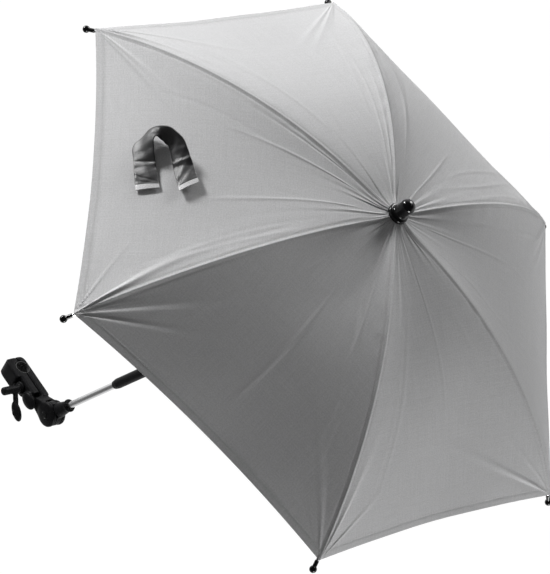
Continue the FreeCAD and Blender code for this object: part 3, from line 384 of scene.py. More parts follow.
@dataclass(frozen=True)
class WovenCloth:
    """Plain woven, proofed cloth with slubs, a soft sheen and painted shade along the sewn lines."""

    name: str
    colour: Colour
    thread: float = 0.00052
    sheen: float = 0.18
    rough: float = 0.82
    shine: float = 0.3
    grain: float = 0.45
    ends: Colour = (0.5, 0.5, 0.505)

    def make(self) -> Material:
        """Build the material."""
        graph = Graph(self.name)
        at = graph.coords(Coord.UV)
        across, along, _ = graph.split(at)
        turn = math.pi / self.thread
        warp = (across * turn).sine()
        weft = (along * turn).sine()
        weave = warp * weft
        slub_a = graph.noise(graph.scaled(at, (1.0, 0.02, 1.0)), scale=900.0, detail=2.0)
        slub_b = graph.noise(graph.scaled(at, (0.02, 1.0, 1.0)), scale=900.0, detail=2.0)
        mottle = graph.noise(at, scale=120.0, detail=5.0)
        grain = graph.noise(at, scale=620.0, detail=1.0)
        sewn = graph.attribute("sewn")
        shade = 0.5 * slub_a + 0.5 * slub_b
        share = 0.3 * shade.step(0.3, 0.7) + 0.25 * mottle + self.grain * grain.step(0.25, 0.75)
        # painted shade: the sewn number darkens the colour along seams, stitch lines and the hem band,
        # standing in for the shade in the sewn grooves
        share = share - 0.55 * sewn
        ends = graph.attribute("bound")
        return graph.surface(
            Base_Color=graph.blend(
                ends,
                graph.blend(share, tint(self.colour, 0.8), tint(self.colour, 1.14)),
                graph.blend(share, tint(self.ends, 0.8), tint(self.ends, 1.1)),
            ),
            Roughness=self.rough + 0.1 * (mottle - 0.5),
            Sheen_Weight=self.sheen,
            Sheen_Roughness=0.45,
            Specular_IOR_Level=self.shine,
            Normal=graph.bump(0.5 * weave + 0.6 * shade + 0.6 * mottle + 0.8 * grain, 0.00012),
        )


@dataclass(frozen=True)
class SewingThread:
    """Twisted sewing thread."""

    name: str
    colour: Colour

    def make(self) -> Material:
        """Build the material."""
        graph = Graph(self.name)
        at = graph.coords(Coord.OBJECT)
        ply = graph.noise(at, scale=3000.0, detail=1.0)
        return graph.surface(
            Base_Color=graph.blend(ply.step(0.35, 0.65), tint(self.colour, 0.8), self.colour),
            Roughness=0.6 + 0.1 * ply,
            Normal=graph.bump(ply, 0.0001),
        )


class Finishes:
    """All the finishes of the parasol, made once."""

    def __init__(self) -> None:
        """Build each material."""
        soot, jet, pad = (0.005, 0.005, 0.0054), (0.003, 0.003, 0.0032), (0.02, 0.02, 0.02)
        self.black = MouldedPlastic("moulded_black", soot, rough=0.42, grain=0.00003, shine=0.06).make()
        gloss = MouldedPlastic("gloss_black", jet, rough=0.14, grain=0.000006, shine=0.35).make()
        rubber = PadRubber("pad_rubber", pad).make()
        chrome = PlatedTube("plated_tube", (0.9, 0.9, 0.91)).make()
        steel = DrawnSteel("drawn_steel", (0.56, 0.56, 0.57), rough=0.24).make()
        self.rivet = DrawnSteel("turned_steel", (0.62, 0.61, 0.6), rough=0.2).make()
        self.cloth = WovenCloth("canopy_cloth", (0.5, 0.5, 0.505)).make()
        dark = {"thread": 0.0007, "sheen": 0.12, "rough": 0.38, "shine": 0.75, "grain": 0.9}
        self.strap = WovenCloth("strap_cloth", (0.03, 0.03, 0.031), **dark).make()
        self.thread = SewingThread("sewing_thread", (0.5, 0.5, 0.5)).make()
        self.slots = {
            Slot.BLACK_PLASTIC: self.black,
            Slot.GLOSS_BLACK: gloss,
            Slot.RUBBER: rubber,
            Slot.CHROME: chrome,
            Slot.STEEL: steel,
            Slot.CLOTH: self.cloth,
        }


class HeadFrame:
    """Frame of the tilted head: origin on the tilt pin, x across, y along the pin, z up the upper pole."""

    def __init__(self, record: dict) -> None:
        """Read the frame from the record's joints.

        Args:
            record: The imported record.
        """
        joints = {joint["name"]: joint for joint in record["behaviour"]["joints"]}
        self.pivot = np.array(joints["tilt"]["pos_m"])
        up = -np.array(joints["runner_slide"]["axis"], float)
        up /= np.linalg.norm(up)
        across = np.cross((0.0, 1.0, 0.0), up)
        self.axes = np.array([across, (0.0, 1.0, 0.0), up])

    def place(self, points: Array) -> Array:
        """Head coordinates to the object's frame."""
        return np.asarray(points) @ self.axes + self.pivot

    def turn(self, vectors: Array) -> Array:
        """Head directions to the object's frame."""
        return np.asarray(vectors) @ self.axes


def bell(distance: Array, width: float) -> Array:
    """Rounded rise that is 1 at no distance and fades out over a width."""
    return np.exp(-((distance / width) ** 2))


def ramp(distance: Array, length: float) -> Array:
    """Straight rise from 0 to 1 over a length."""
    return np.clip(distance / length, 0, 1)


def unit(vectors: Array) -> Array:
    """Vectors brought to length 1."""
    return vectors / np.linalg.norm(vectors, axis=-1, keepdims=True)


def add_object(name: str, data: Any) -> Piece:
    """New object at the origin, linked to the scene."""
    made = bpy.data.objects.new(name, data)
    bpy.context.scene.collection.objects.link(made)
    return made


def mesh_object(name: str, points: Array, faces: Sequence, edges: Sequence = ()) -> Piece:
    """Plain mesh object at the origin.

    Args:
        name: Name of the piece.
        points: Vertices in the object's frame.
        faces: Vertex numbers of each face.
        edges: Vertex numbers of loose edges.

    Returns:
        The object, linked to the scene.
    """
    mesh = bpy.data.meshes.new(name)
    mesh.from_pydata([tuple(p) for p in points], [tuple(e) for e in edges], [tuple(f) for f in faces])
    mesh.update()
    return add_object(name, mesh)


def corners_of(mesh: Mesh) -> Array:
    """Vertex number of each face corner."""
    found = np.zeros(len(mesh.loops), np.int32)
    mesh.loops.foreach_get("vertex_index", found)
    return found


def set_cut(mesh: Mesh, u: Array, v: Array) -> None:
    """Store the flat cut as UVs in metres, one pair for each face corner."""
    layer = mesh.uv_layers.new(name="cut")
    layer.data.foreach_set("uv", np.stack([u, v], -1).astype(np.float32).ravel())


def set_mark(mesh: Mesh, name: str, values: Array) -> None:
    """Store one number for each vertex, for the finish to read."""
    made = mesh.attributes.new(name, "FLOAT", "POINT")
    made.data.foreach_set("value", values.astype(np.float32))


def thicken(item: Piece, thickness: float) -> None:
    """Give a sheet its thickness, half of it to either side."""
    wall = item.modifiers.new("wall", "SOLIDIFY")
    wall.thickness = thickness
    wall.offset = 0.0


def smooth(item: Piece) -> Piece:
    """Shade every face smooth."""
    item.data.shade_smooth()
    return item


def wear(item: Piece, material: Material) -> Piece:
    """Give a piece one material."""
    item.data.materials.clear()
    item.data.materials.append(material)
    return item


def plain(item: Piece) -> Piece:
    """Turn a piece with modifiers into a plain mesh."""
    ready = item.evaluated_get(bpy.context.evaluated_depsgraph_get())
    mesh = bpy.data.meshes.new_from_object(ready)
    item.modifiers.clear()
    item.data = mesh
    return item


def grid_faces(rows: int, columns: int) -> list[tuple[int, int, int, int]]:
    """Faces of a grid of points stored row by row."""
    return [
        (i * columns + j, i * columns + j + 1, (i + 1) * columns + j + 1, (i + 1) * columns + j)
        for i in range(rows - 1)
        for j in range(columns - 1)
    ]


class StitchRow:
    """Geometry Nodes tree that lays stitches along loose edges."""

    def __init__(self, spacing: float, length: float, thickness: float) -> None:
        """Build the tree.

        Args:
            spacing: Distance between stitches.
            length: Length of one stitch.
            thickness: Thickness of the thread.
        """
        self.sizes = {"Spacing": spacing, "Length": length, "Thickness": thickness}
        self.tree = bpy.data.node_groups.new("stitch_row", "GeometryNodeTree")
        face = self.tree.interface
        face.new_socket("Geometry", in_out="INPUT", socket_type="NodeSocketGeometry")
        self.ids = {
            name: face.new_socket(name, in_out="INPUT", socket_type="NodeSocketFloat").identifier
            for name in self.sizes
        }
        thread = face.new_socket("Thread", in_out="INPUT", socket_type="NodeSocketMaterial")
        self.ids["Thread"] = thread.identifier
        face.new_socket("Geometry", in_out="OUTPUT", socket_type="NodeSocketGeometry")
        self._wire()

    def _wire(self) -> None:
        """Add the nodes and their links."""
        add = self.tree.nodes.new
        start = add("NodeGroupInput")
        end = add("NodeGroupOutput")
        curve = add("GeometryNodeMeshToCurve")
        spots = add("GeometryNodeCurveToPoints")
        spots.mode = "LENGTH"
        bead = add("GeometryNodeMeshIcoSphere")
        bead.inputs["Radius"].default_value = 0.5
        bead.inputs["Subdivisions"].default_value = 2
        size = add("ShaderNodeCombineXYZ")
        lay = add("GeometryNodeInstanceOnPoints")
        real = add("GeometryNodeRealizeInstances")
        paint = add("GeometryNodeSetMaterial")
        for source, output, target, into in (
            (start, "Geometry", curve, "Mesh"),
            (curve, "Curve", spots, "Curve"),
            (start, "Spacing", spots, "Length"),
            (start, "Thickness", size, "X"),
            (start, "Thickness", size, "Y"),
            (start, "Length", size, "Z"),
            (spots, "Points", lay, "Points"),
            (spots, "Rotation", lay, "Rotation"),
            (bead, "Mesh", lay, "Instance"),
            (size, 0, lay, "Scale"),
            (lay, "Instances", real, "Geometry"),
            (real, "Geometry", paint, "Geometry"),
            (start, "Thread", paint, "Material"),
            (paint, "Geometry", end, "Geometry"),
        ):
            self.tree.links.new(source.outputs[output], target.inputs[into])

    def sew(self, name: str, lines: Sequence[Array], thread: Material) -> Piece:
        """Sew along lines.

        Args:
            name: Name of the piece.
            lines: Points of each line in the object's frame.
            thread: Material of the stitches.

        Returns:
            One plain mesh with all the stitches.
        """
        points: list[Array] = []
        edges: list[tuple[int, int]] = []
        for line in lines:
            first = len(points)
            points.extend(line)
            edges.extend((first + i, first + i + 1) for i in range(len(line) - 1))
        made = mesh_object(name, np.array(points), [], edges)
        modifier = made.modifiers.new("stitches", "NODES")
        modifier.node_group = self.tree
        for key, value in self.sizes.items():
            modifier[self.ids[key]] = value
        modifier[self.ids["Thread"]] = thread
        return smooth(plain(made))


@dataclass(frozen=True)
class Ridge:
    """Rounded ridge or groove in the cloth: how far it stands out, and the width it fades over."""

    height: float
    width: float


@dataclass
class Canopy:
    """Cloth of the parasol: one taut sheet over six arched ribs, cut at mid-gore so that it folds.

    Sizes are in metres, but a crease's width is an angle at the gore's corner and a fold line's
    width is a share of the gore.
    """

    head: HeadFrame
    finishes: Finishes
    ribs: int = 6
    first_rib: float = math.radians(30.0)
    tip_circle: float = 0.350
    pivot_radius: float = 0.008
    pivot_height: float = 0.277
    tip_drop: float = 0.124
    arch: float = 0.0385
    rise: float = 0.003
    hole: float = 0.0075
    corner_back: float = 0.011
    crown_lift: float = 0.00565
    crown_spread: float = 0.018
    sags: tuple = (
        (0.0110, 0.0040, 0.0010, -0.0003, -0.0020), (0.0010, 0.0021, 0.0006, 0.0003, -0.0008),
        (0.0041, -0.0040, 0.0011, 0.0020, 0.0), (0.0036, 0.0007, -0.0008, -0.0004, 0.0009),
        (0.0057, 0.0040, 0.0020, 0.0020, 0.0009), (0.0069, -0.0019, 0.0020, 0.0013, 0.0020),
    )
    fold_lines: tuple = (
        (0, 0.66, 0.64, 0.10, 0.80, 0.9), (0, 0.30, 0.26, 0.12, 0.45, 0.5), (1, 0.44, 0.42, 0.08, 0.48, 1.0),
        (1, 0.78, 0.84, 0.15, 0.60, 0.7), (2, 0.07, 0.06, 0.10, 0.70, 0.8), (2, 0.14, 0.12, 0.15, 0.75, 0.7),
        (2, 0.45, 0.50, 0.10, 0.40, 0.5), (3, 0.26, 0.24, 0.10, 0.60, 1.0), (3, 0.64, 0.66, 0.10, 0.70, 0.8),
        (3, 0.08, 0.07, 0.10, 0.55, -0.9), (4, 0.50, 0.50, 0.08, 0.90, 1.0), (4, 0.80, 0.76, 0.20, 0.62, 0.7),
        (4, 0.24, 0.30, 0.25, 0.50, 0.6), (5, 0.50, 0.52, 0.12, 0.75, 0.5),
    )
    hem_curve: float = 0.024
    hem_width: float = 0.011
    hem_height: float = 0.0004
    hem_inset: float = 0.002
    hem_groove: Ridge = Ridge(0.00022, 0.001)
    seam_ridge: Ridge = Ridge(0.0005, 0.0017)
    seam_groove: Ridge = Ridge(0.0003, 0.0016)
    seam_groove_at: float = 0.004
    seam_blend: float = 0.003
    pleat_height: float = 0.0012
    pleat_depth: float = 0.0009
    pleat_shift: float = 1.6
    tuck_start: float = 0.02
    crease: Ridge = Ridge(0.0014, 0.06)
    slack: float = 0.0006
    slack_waves: Triple = (7.3, 5.1, 13.0)
    slack_shifts: tuple[float, float] = (2.1, 1.7)
    fold_line: Ridge = Ridge(0.0005, 0.011)
    fold_fades: tuple[float, float] = (0.08, 0.2)
    fold_sway: Triple = (0.006, 9.0, 5.0)
    streak: Ridge = Ridge(0.00028, 0.0028)
    streak_span: tuple[float, float] = (0.25, 0.93)
    streak_fades: tuple[float, float] = (0.15, 0.2)
    streak_taper: float = 0.65
    streak_sway: tuple[float, float] = (0.0025, 11.0)
    gather: Ridge = Ridge(0.0005, 0.016)
    gather_start: float = 0.006
    gather_fade: float = 0.3
    gather_waves: Triple = (58.0, 17.0, 9.0)
    # painted shade along the rib seams and the hem: where it lies, how much it darkens the cloth and the
    # width it fades over
    painted_seam_shade_at: float = 0.0012
    painted_seam_shade: Ridge = Ridge(0.7, 0.0011)
    painted_hem_shade: Ridge = Ridge(0.4, 0.0014)
    seam_run: tuple[float, float, int] = (0.06, 0.955, 260)
    hem_run: tuple[float, float, int] = (0.06, 1.0, 110)
    stitch_aside: float = 0.0034
    stitch_lift: float = 0.00008
    cloth: float = 0.0005
    laps: tuple = (
        (0.025, 1.86), (0.10, 1.86), (0.15, 1.78), (0.20, 1.63), (0.25, 1.50), (0.30, 1.40), (0.35, 1.30),
        (0.40, 1.22), (0.45, 1.13), (0.52, 1.02),
    )
    lap_from: float = 0.85
    lap_depth: float = 0.0009
    lap_grid: tuple[int, int] = (60, 18)
    keep: float = 0.3
    collar: Triple = (0.0073, 0.2825, 0.2864)
    collar_wave: float = 0.00035
    collar_folds: int = 24
    collar_points: int = 96
    rows: int = 210
    row_power: float = 1.15
    columns: int = 80
    column_power: float = 1.4
    step: float = 1e-4
    probe: float = 4e-4
    probe_radius: float = 0.004
    tiny: float = 1e-6
    seed: int = 11

    def __post_init__(self) -> None:
        """Work out the ribs' arch."""
        tip_x = self.tip_circle - self.pivot_radius
        tip_z = -self.tip_drop
        chord = math.hypot(tip_x, tip_z)
        self.radius = (chord * chord / 4 + self.arch**2) / (2 * self.arch)
        self.centre_x = tip_x / 2 + (tip_z / chord) * (self.radius - self.arch)
        self.centre_z = tip_z / 2 - (tip_x / chord) * (self.radius - self.arch)
        self.start = math.atan2(-self.centre_z, -self.centre_x)
        self.start -= (self.hole - self.pivot_radius) / self.radius
        end = math.atan2(tip_z - self.centre_z, tip_x - self.centre_x)
        self.end = end + self.corner_back / self.radius
        self.length = (self.start - self.end) * self.radius
        rng = np.random.default_rng(self.seed)
        self.pleats = rng.uniform((0.0, 0.022, 0.35, 0.035), (0.0, 0.05, 1.25, 0.1), (self.ribs, 5, 4))
        places = np.array([0.1, 0.28, 0.47, 0.68, 0.88])
        self.pleats[:, :, 0] = places + rng.uniform(-0.07, 0.07, (self.ribs, 5))
        self.creases = rng.uniform((0.12, 0.4, 0.05), (1.0, 1.35, 0.11), (self.ribs, 2, 3, 3))
        self.streaks = rng.uniform((0.012, -0.6, 0.0), (0.075, 1.0, 6.3), (self.ribs, 2, 5, 3))
        self.gathers = rng.uniform((0.1, 0.0), (0.9, 6.3), (self.ribs, 2, 2))

    def line(self, share: Array) -> tuple[Array, Array]:
        """Radius and height of the cloth over a rib.

        Args:
            share: Place along the rib, from 0 at the finial to 1 at the corner.

        Returns:
            Radius from the pole and height above the tilt pin.
        """
        angle = self.start + (self.end - self.start) * share
        reach = self.radius + self.rise
        radius = self.pivot_radius + self.centre_x + reach * np.cos(angle)
        height = self.pivot_height + self.centre_z + reach * np.sin(angle)
        return radius, height + self.crown_lift * bell(radius, self.crown_spread)

    def base(self, gore: int, share: Array, across: Array) -> Array:
        """Stretched cloth of one gore without its creases.

        Args:
            gore: Number of the gore, from 0; it lies between ribs of that number and the next.
            share: Place along the gore, from 0 at the finial to 1 at the hem.
            across: Place across the gore, from 0 at its first rib to 1 at the next.

        Returns:
            Points in the head's frame.
        """
        bow = 4 * across * (1 - across)
        station = share * (1 - self.hem_curve * bow)
        radius, height = self.line(station)
        first = self.first_rib + 2 * math.pi / self.ribs * gore
        last = first + 2 * math.pi / self.ribs
        x = radius * ((1 - across) * math.cos(first) + across * math.cos(last))
        y = radius * ((1 - across) * math.sin(first) + across * math.sin(last))
        waves = [np.sin(np.pi * turn * station) for turn in (1, 2, 3)]
        first, second, third, skew, twist = self.sags[gore % self.ribs]
        sag = first * waves[0] + second * waves[1] + third * waves[2]
        sag = sag + 2 * (1 - 2 * across) * (skew * waves[0] + twist * waves[1])
        return np.stack([x, y, height - bow * sag], -1)

    def relief(self, gore: int, share: Array, across: Array) -> Array:
        """Height of seams, hem, pleats and creases over the stretched cloth, in metres.

        Args:
            gore: Number of the gore.
            share: Place along the gore.
            across: Place across the gore.

        Returns:
            Height at each place.
        """
        radius, _ = self.line(share)
        turn = gore % self.ribs
        seam = np.minimum(across, 1 - across) * radius
        to_hem = (1 - share) * self.length
        lift = self.seam_ridge.height * bell(seam, self.seam_ridge.width)
        lift = lift - self.seam_groove.height * bell(seam - self.seam_groove_at, self.seam_groove.width)
        hem = ramp(self.hem_width + self.hem_inset / 2 - to_hem, self.hem_inset)
        lift = lift + self.hem_height * hem * hem * (3 - 2 * hem)
        groove = bell(to_hem - self.hem_width + self.hem_inset, self.hem_groove.width)
        lift = lift - self.hem_groove.height * groove
        for place, width, strength, far in self.pleats[turn]:
            fade = ramp(radius, self.tuck_start) * bell(radius, far)
            lift = lift + self.pleat_height * strength * fade * bell(across - place, width)
            hollow = bell(across - place - self.pleat_shift * width, width)
            lift = lift - self.pleat_depth * strength * fade * hollow
        for side in Side:
            width = side.inwards(across) * radius
            reach = np.hypot(to_hem, width) + self.tiny
            angle = np.arctan2(width, to_hem + self.tiny)
            for spot, strength, far in self.creases[turn, side.value]:
                near = ramp(reach, self.tuck_start) * bell(reach, far)
                lift = lift + self.crease.height * strength * near * bell(angle - spot, self.crease.width)
        lift = lift + self.folds(turn, share, across, radius)
        middle = np.sin(np.pi * across) ** 2
        (by_share, by_across, by_both), shifts = self.slack_waves, self.slack_shifts
        wave = np.sin(by_share * share + shifts[0] * turn) * np.cos(by_across * across - shifts[1] * turn)
        wave = wave + np.sin(by_both * share * across + turn)
        return lift + self.slack * middle * wave * share

    def folds(self, gore: int, share: Array, across: Array, radius: Array) -> Array:
        """Height of the long fold lines, the streaks along the ribs and the gathers beside the seams.

        Args:
            gore: Number of the gore.
            share: Place along the gore.
            across: Place across the gore.
            radius: Radius of each place from the pole.

        Returns:
            Height at each place.
        """
        lift = np.zeros(np.broadcast(share, across).shape)
        sway, waves, shift = self.fold_sway
        for number, start, end, near, far, strength in self.fold_lines:
            if number == gore:
                middle = start + (end - start) * share + sway * np.sin(waves * share + shift * start)
                fade = ramp(share - near, self.fold_fades[0]) * ramp(far - share, self.fold_fades[1])
                height = self.fold_line.height * strength * fade
                lift = lift + height * bell(across - middle, self.fold_line.width)
        near, far = self.streak_span
        fade = ramp(share - near, self.streak_fades[0]) * ramp(far - share, self.streak_fades[1])
        sway, waves = self.streak_sway
        closer, ripple, patches = self.gather_waves
        for side in Side:
            away = side.inwards(across) * radius
            for place, strength, turn in self.streaks[gore, side.value]:
                spread = place * (1 - self.streak_taper + self.streak_taper * share)
                line = spread + sway * np.sin(waves * share + turn)
                lift = lift + self.streak.height * strength * fade * bell(away - line, self.streak.width)
            depth, turn = self.gathers[gore, side.value]
            wave = np.sin(closer * share + turn + 2.0 * np.sin(ripple * share))
            wave = wave * bell(away, self.gather.width)
            wave = wave * ramp(away, self.gather_start) * ramp(share, self.gather_fade)
            patch = 0.5 + 0.5 * np.sin(patches * share + 2.0 * turn)
            lift = lift + self.gather.height * depth * wave * patch
        return lift

    def spots(self, rib: int, share: Array, offset: Array, lift: float = 0.0) -> Array:
        """Finished cloth near one rib.

        Args:
            rib: Number of the rib, from 0.
            share: Place along the rib.
            offset: Place across, 0 on the rib and -1 or 1 at the middle of the gore on either side.
            lift: Height over the cloth.

        Returns:
            Points in the head's frame.
        """
        points = np.zeros((*np.broadcast(share, offset).shape, 3))
        for side in Side:
            right = side is Side.RIGHT
            gore = rib if right else rib - 1
            across = np.abs(offset) / 2
            across = across if right else 1 - across
            spot = self.base(gore, share, across)
            along = self.base(gore, share + self.step, across) - self.base(gore, share - self.step, across)
            aside = self.base(gore, share, across + self.step) - self.base(gore, share, across - self.step)
            normal = unit(np.cross(along, aside))
            seam = bell(np.minimum(across, 1 - across) * self.line(share)[0], self.seam_blend)[..., None]
            normal = unit(normal * (1 - seam) + self._ridge(rib, share) * seam)
            done = spot + normal * (self.relief(gore, share, across) + lift)[..., None]
            mine = (offset >= 0) if right else (offset < 0)
            points = np.where(mine[..., None], done, points)
        return points

    def facing(self, rib: int, share: Array, offset: Array) -> Array:
        """Direction the finished cloth faces, the same on both sides of a cut.

        Args:
            rib: Number of the rib, from 0.
            share: Place along the rib.
            offset: Place across.

        Returns:
            Unit vectors in the head's frame.
        """
        along = self.spots(rib, share + self.probe, offset) - self.spots(rib, share - self.probe, offset)
        wide = self.probe / np.maximum(self.line(share)[0], self.probe_radius)
        aside = self.spots(rib, share, offset + wide) - self.spots(rib, share, offset - wide)
        return unit(np.cross(along, aside))

    def _ridge(self, rib: int, share: Array) -> Array:
        """Direction that stands on the rib, in the head's frame."""
        high_r, high_z = self.line(share + self.step)
        low_r, low_z = self.line(share - self.step)
        out = np.hypot(high_r - low_r, high_z - low_z)
        lean = -(high_z - low_z) / out
        up = (high_r - low_r) / out
        angle = self.first_rib + 2 * math.pi / self.ribs * rib
        return np.stack([lean * math.cos(angle), lean * math.sin(angle), up], -1)

    def offsets(self) -> Array:
        """Places of the columns across a panel, closer by the rib."""
        half = (np.arange(1, self.columns + 1) / self.columns) ** self.column_power
        return np.concatenate([-half[::-1], [0.0], half])

    def panel(self, rib: int) -> Piece:
        """Cloth that rides on one rib.

        Args:
            rib: Number of the rib, from 0.

        Returns:
            The panel, from the middle of one gore to the middle of the next.
        """
        across = self.offsets()
        along = (np.arange(self.rows + 1) / self.rows) ** self.row_power
        share, offset = np.meshgrid(along, across, indexing="ij")
        facing = self.facing(rib, share, offset).reshape(-1, 3)
        top = self.spots(rib, share, offset).reshape(-1, 3)
        rows, columns = share.shape
        under = len(top)
        grid = grid_faces(rows, columns)
        faces = [face[::-1] for face in grid] + [tuple(under + i for i in face) for face in grid]
        crown = list(range(columns))
        hem = [(rows - 1) * columns + j for j in crown]
        left = [i * columns for i in range(rows)]
        right = [i + columns - 1 for i in left]
        for line, back in ((hem, True), (crown, False), (left, True), (right, False)):
            for pair in zip(line, line[1:]):
                near, far = pair[::-1] if back else pair
                faces.append((near, far, under + far, under + near))
        points = self.head.place(np.concatenate([top, top - facing * self.cloth]))
        made = mesh_object("canopy_cloth_%d" % (rib + 1), points, faces)
        self._lay_out(made, share, offset)
        wear(smooth(made), self.finishes.cloth)
        facing = self.head.turn(np.concatenate([facing, -facing]))
        made.data.normals_split_custom_set_from_vertices([tuple(n) for n in facing])
        return made

    def _lay_out(self, made: Piece, share: Array, offset: Array) -> None:
        """Add the flat cut as UVs in metres, and painted shade along the sewn lines and over the hem band as
        an attribute.

        Args:
            made: The panel, its upper side first and its lower side after it.
            share: Place of each vertex of one side along the rib.
            offset: Place of each vertex of one side across.
        """
        mesh = made.data
        radius, _ = self.line(share)
        across = np.abs(offset) / 2
        seam = across * radius
        to_hem = (1 - share) * self.length
        # painted shade along the rib seams, the hem stitches and the whole hem band, stored as the sewn
        # number
        sewn = bell(seam - self.painted_seam_shade_at, self.painted_seam_shade.width) * self.painted_seam_shade.height
        sewn = np.maximum(sewn, bell(to_hem - self.hem_width + self.hem_inset, self.painted_hem_shade.width))
        sewn = np.maximum(sewn, self.painted_hem_shade.height * (to_hem < self.hem_width))
        set_mark(mesh, "sewn", np.tile(sewn.ravel(), 2))
        corner = corners_of(mesh) % share.size
        start = np.zeros(len(mesh.polygons), np.int32)
        mesh.polygons.foreach_get("loop_start", start)
        middle = np.add.reduceat(offset.ravel()[corner], start)
        right = np.repeat(middle >= 0, 4)
        u = (across - 0.5).ravel()[corner] * radius.ravel()[corner]
        set_cut(mesh, np.where(right, u, -u), (share * self.length).ravel()[corner])

    def lap(self, rib: int) -> Piece:
        """Facing under a panel by the crown, which covers the gap to the next panel as the parasol closes.

        Args:
            rib: Number of the rib, from 0.

        Returns:
            The two sides of the facing as one mesh.
        """
        places, reach = np.array(self.laps).T
        along = np.linspace(places[0], places[-1], self.lap_grid[0])
        share, part = np.meshgrid(along, np.linspace(0, 1, self.lap_grid[1]), indexing="ij")
        wide = self.lap_from + (np.interp(along, places, reach)[:, None] - self.lap_from) * part
        signs = (-1.0, 1.0)
        sides = [self.spots(rib, share, sign * wide, -self.lap_depth).reshape(-1, 3) for sign in signs]
        grid = grid_faces(*share.shape)
        faces = grid + [tuple(share.size + i for i in face[::-1]) for face in grid]
        made = mesh_object("crown_lap_%d" % (rib + 1), self.head.place(np.concatenate(sides)), faces)
        corner = corners_of(made.data)
        u = np.concatenate([(sign * wide / 2 * self.line(share)[0]).ravel() for sign in signs])
        v = np.tile((share * self.length).ravel(), 2)
        set_cut(made.data, u[corner], v[corner])
        thicken(made, self.cloth / 2)
        return wear(smooth(plain(made)), self.finishes.cloth)

    def neck(self) -> Piece:
        """Gathered cloth between the washer and the finial, seen when the panels draw away from it.

        Returns:
            The collar.
        """
        radius, low, high = self.collar
        turn = np.linspace(0, 2 * math.pi, self.collar_points, endpoint=False)
        wave = radius - self.collar_wave * (1 - np.cos(self.collar_folds * turn))
        ring = np.stack([wave * np.cos(turn), wave * np.sin(turn), np.zeros_like(turn)], -1)
        points = np.concatenate([ring + (0, 0, height) for height in (low, high)])
        count = len(turn)
        faces = [(i, (i + 1) % count, count + (i + 1) % count, count + i) for i in range(count)]
        made = mesh_object("crown_collar", self.head.place(points), faces)
        x, y, z = self.head.place(points)[corners_of(made.data)].T
        set_cut(made.data, x + y, z)
        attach(made, "upper_pole")
        return wear(smooth(made), self.finishes.cloth)

    def sewing(self, rib: int, row: StitchRow) -> Piece:
        """Top stitches beside the rib's seam and along the hem of one panel.

        Args:
            rib: Number of the rib, from 0.
            row: The stitch maker.

        Returns:
            The stitches as one mesh.
        """
        share = np.linspace(*self.seam_run)
        radius, _ = self.line(share)
        beside = 2 * self.stitch_aside / radius
        offset = np.linspace(*self.hem_run)
        hem = np.full_like(offset, 1 - (self.hem_width - self.hem_inset) / self.length)
        rows = ((share, -beside), (share, beside), (hem, -offset), (hem, offset))
        lines = [self.head.place(self.spots(rib, *row_at, self.stitch_lift)) for row_at in rows]
        return row.sew("cloth_stitches_%d" % (rib + 1), lines, self.finishes.thread)

    def fold(self, piece: Piece, rib: int) -> None:
        """Let a piece ride on a rib, on a mesh of its own.

        Args:
            piece: Cloth or what is sewn to it.
            rib: Number of the rib, from 0.
        """
        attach(piece, "rib_%d" % (rib + 1))
        angle = self.first_rib + 2 * math.pi / self.ribs * rib
        axis = self.head.turn(np.array([-math.sin(angle), math.cos(angle), 0.0]))
        anchor = self.head.place(np.array([0.0, 0.0, self.pivot_height]))
        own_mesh(piece)

    def build(self) -> int:
        """Make the collar, and all the panels with their facings and stitches.

        Returns:
            Number of panels made.
        """
        row = StitchRow(spacing=0.0032, length=0.0023, thickness=0.00042)
        self.neck()
        for rib in range(self.ribs):
            panel = self.panel(rib)
            lap = self.lap(rib)
            stitches = self.sewing(rib, row)
            for piece in (panel, lap, stitches):
                self.fold(piece, rib)
            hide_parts("canopy_gore_%d" % (rib + 1))
        return self.ribs


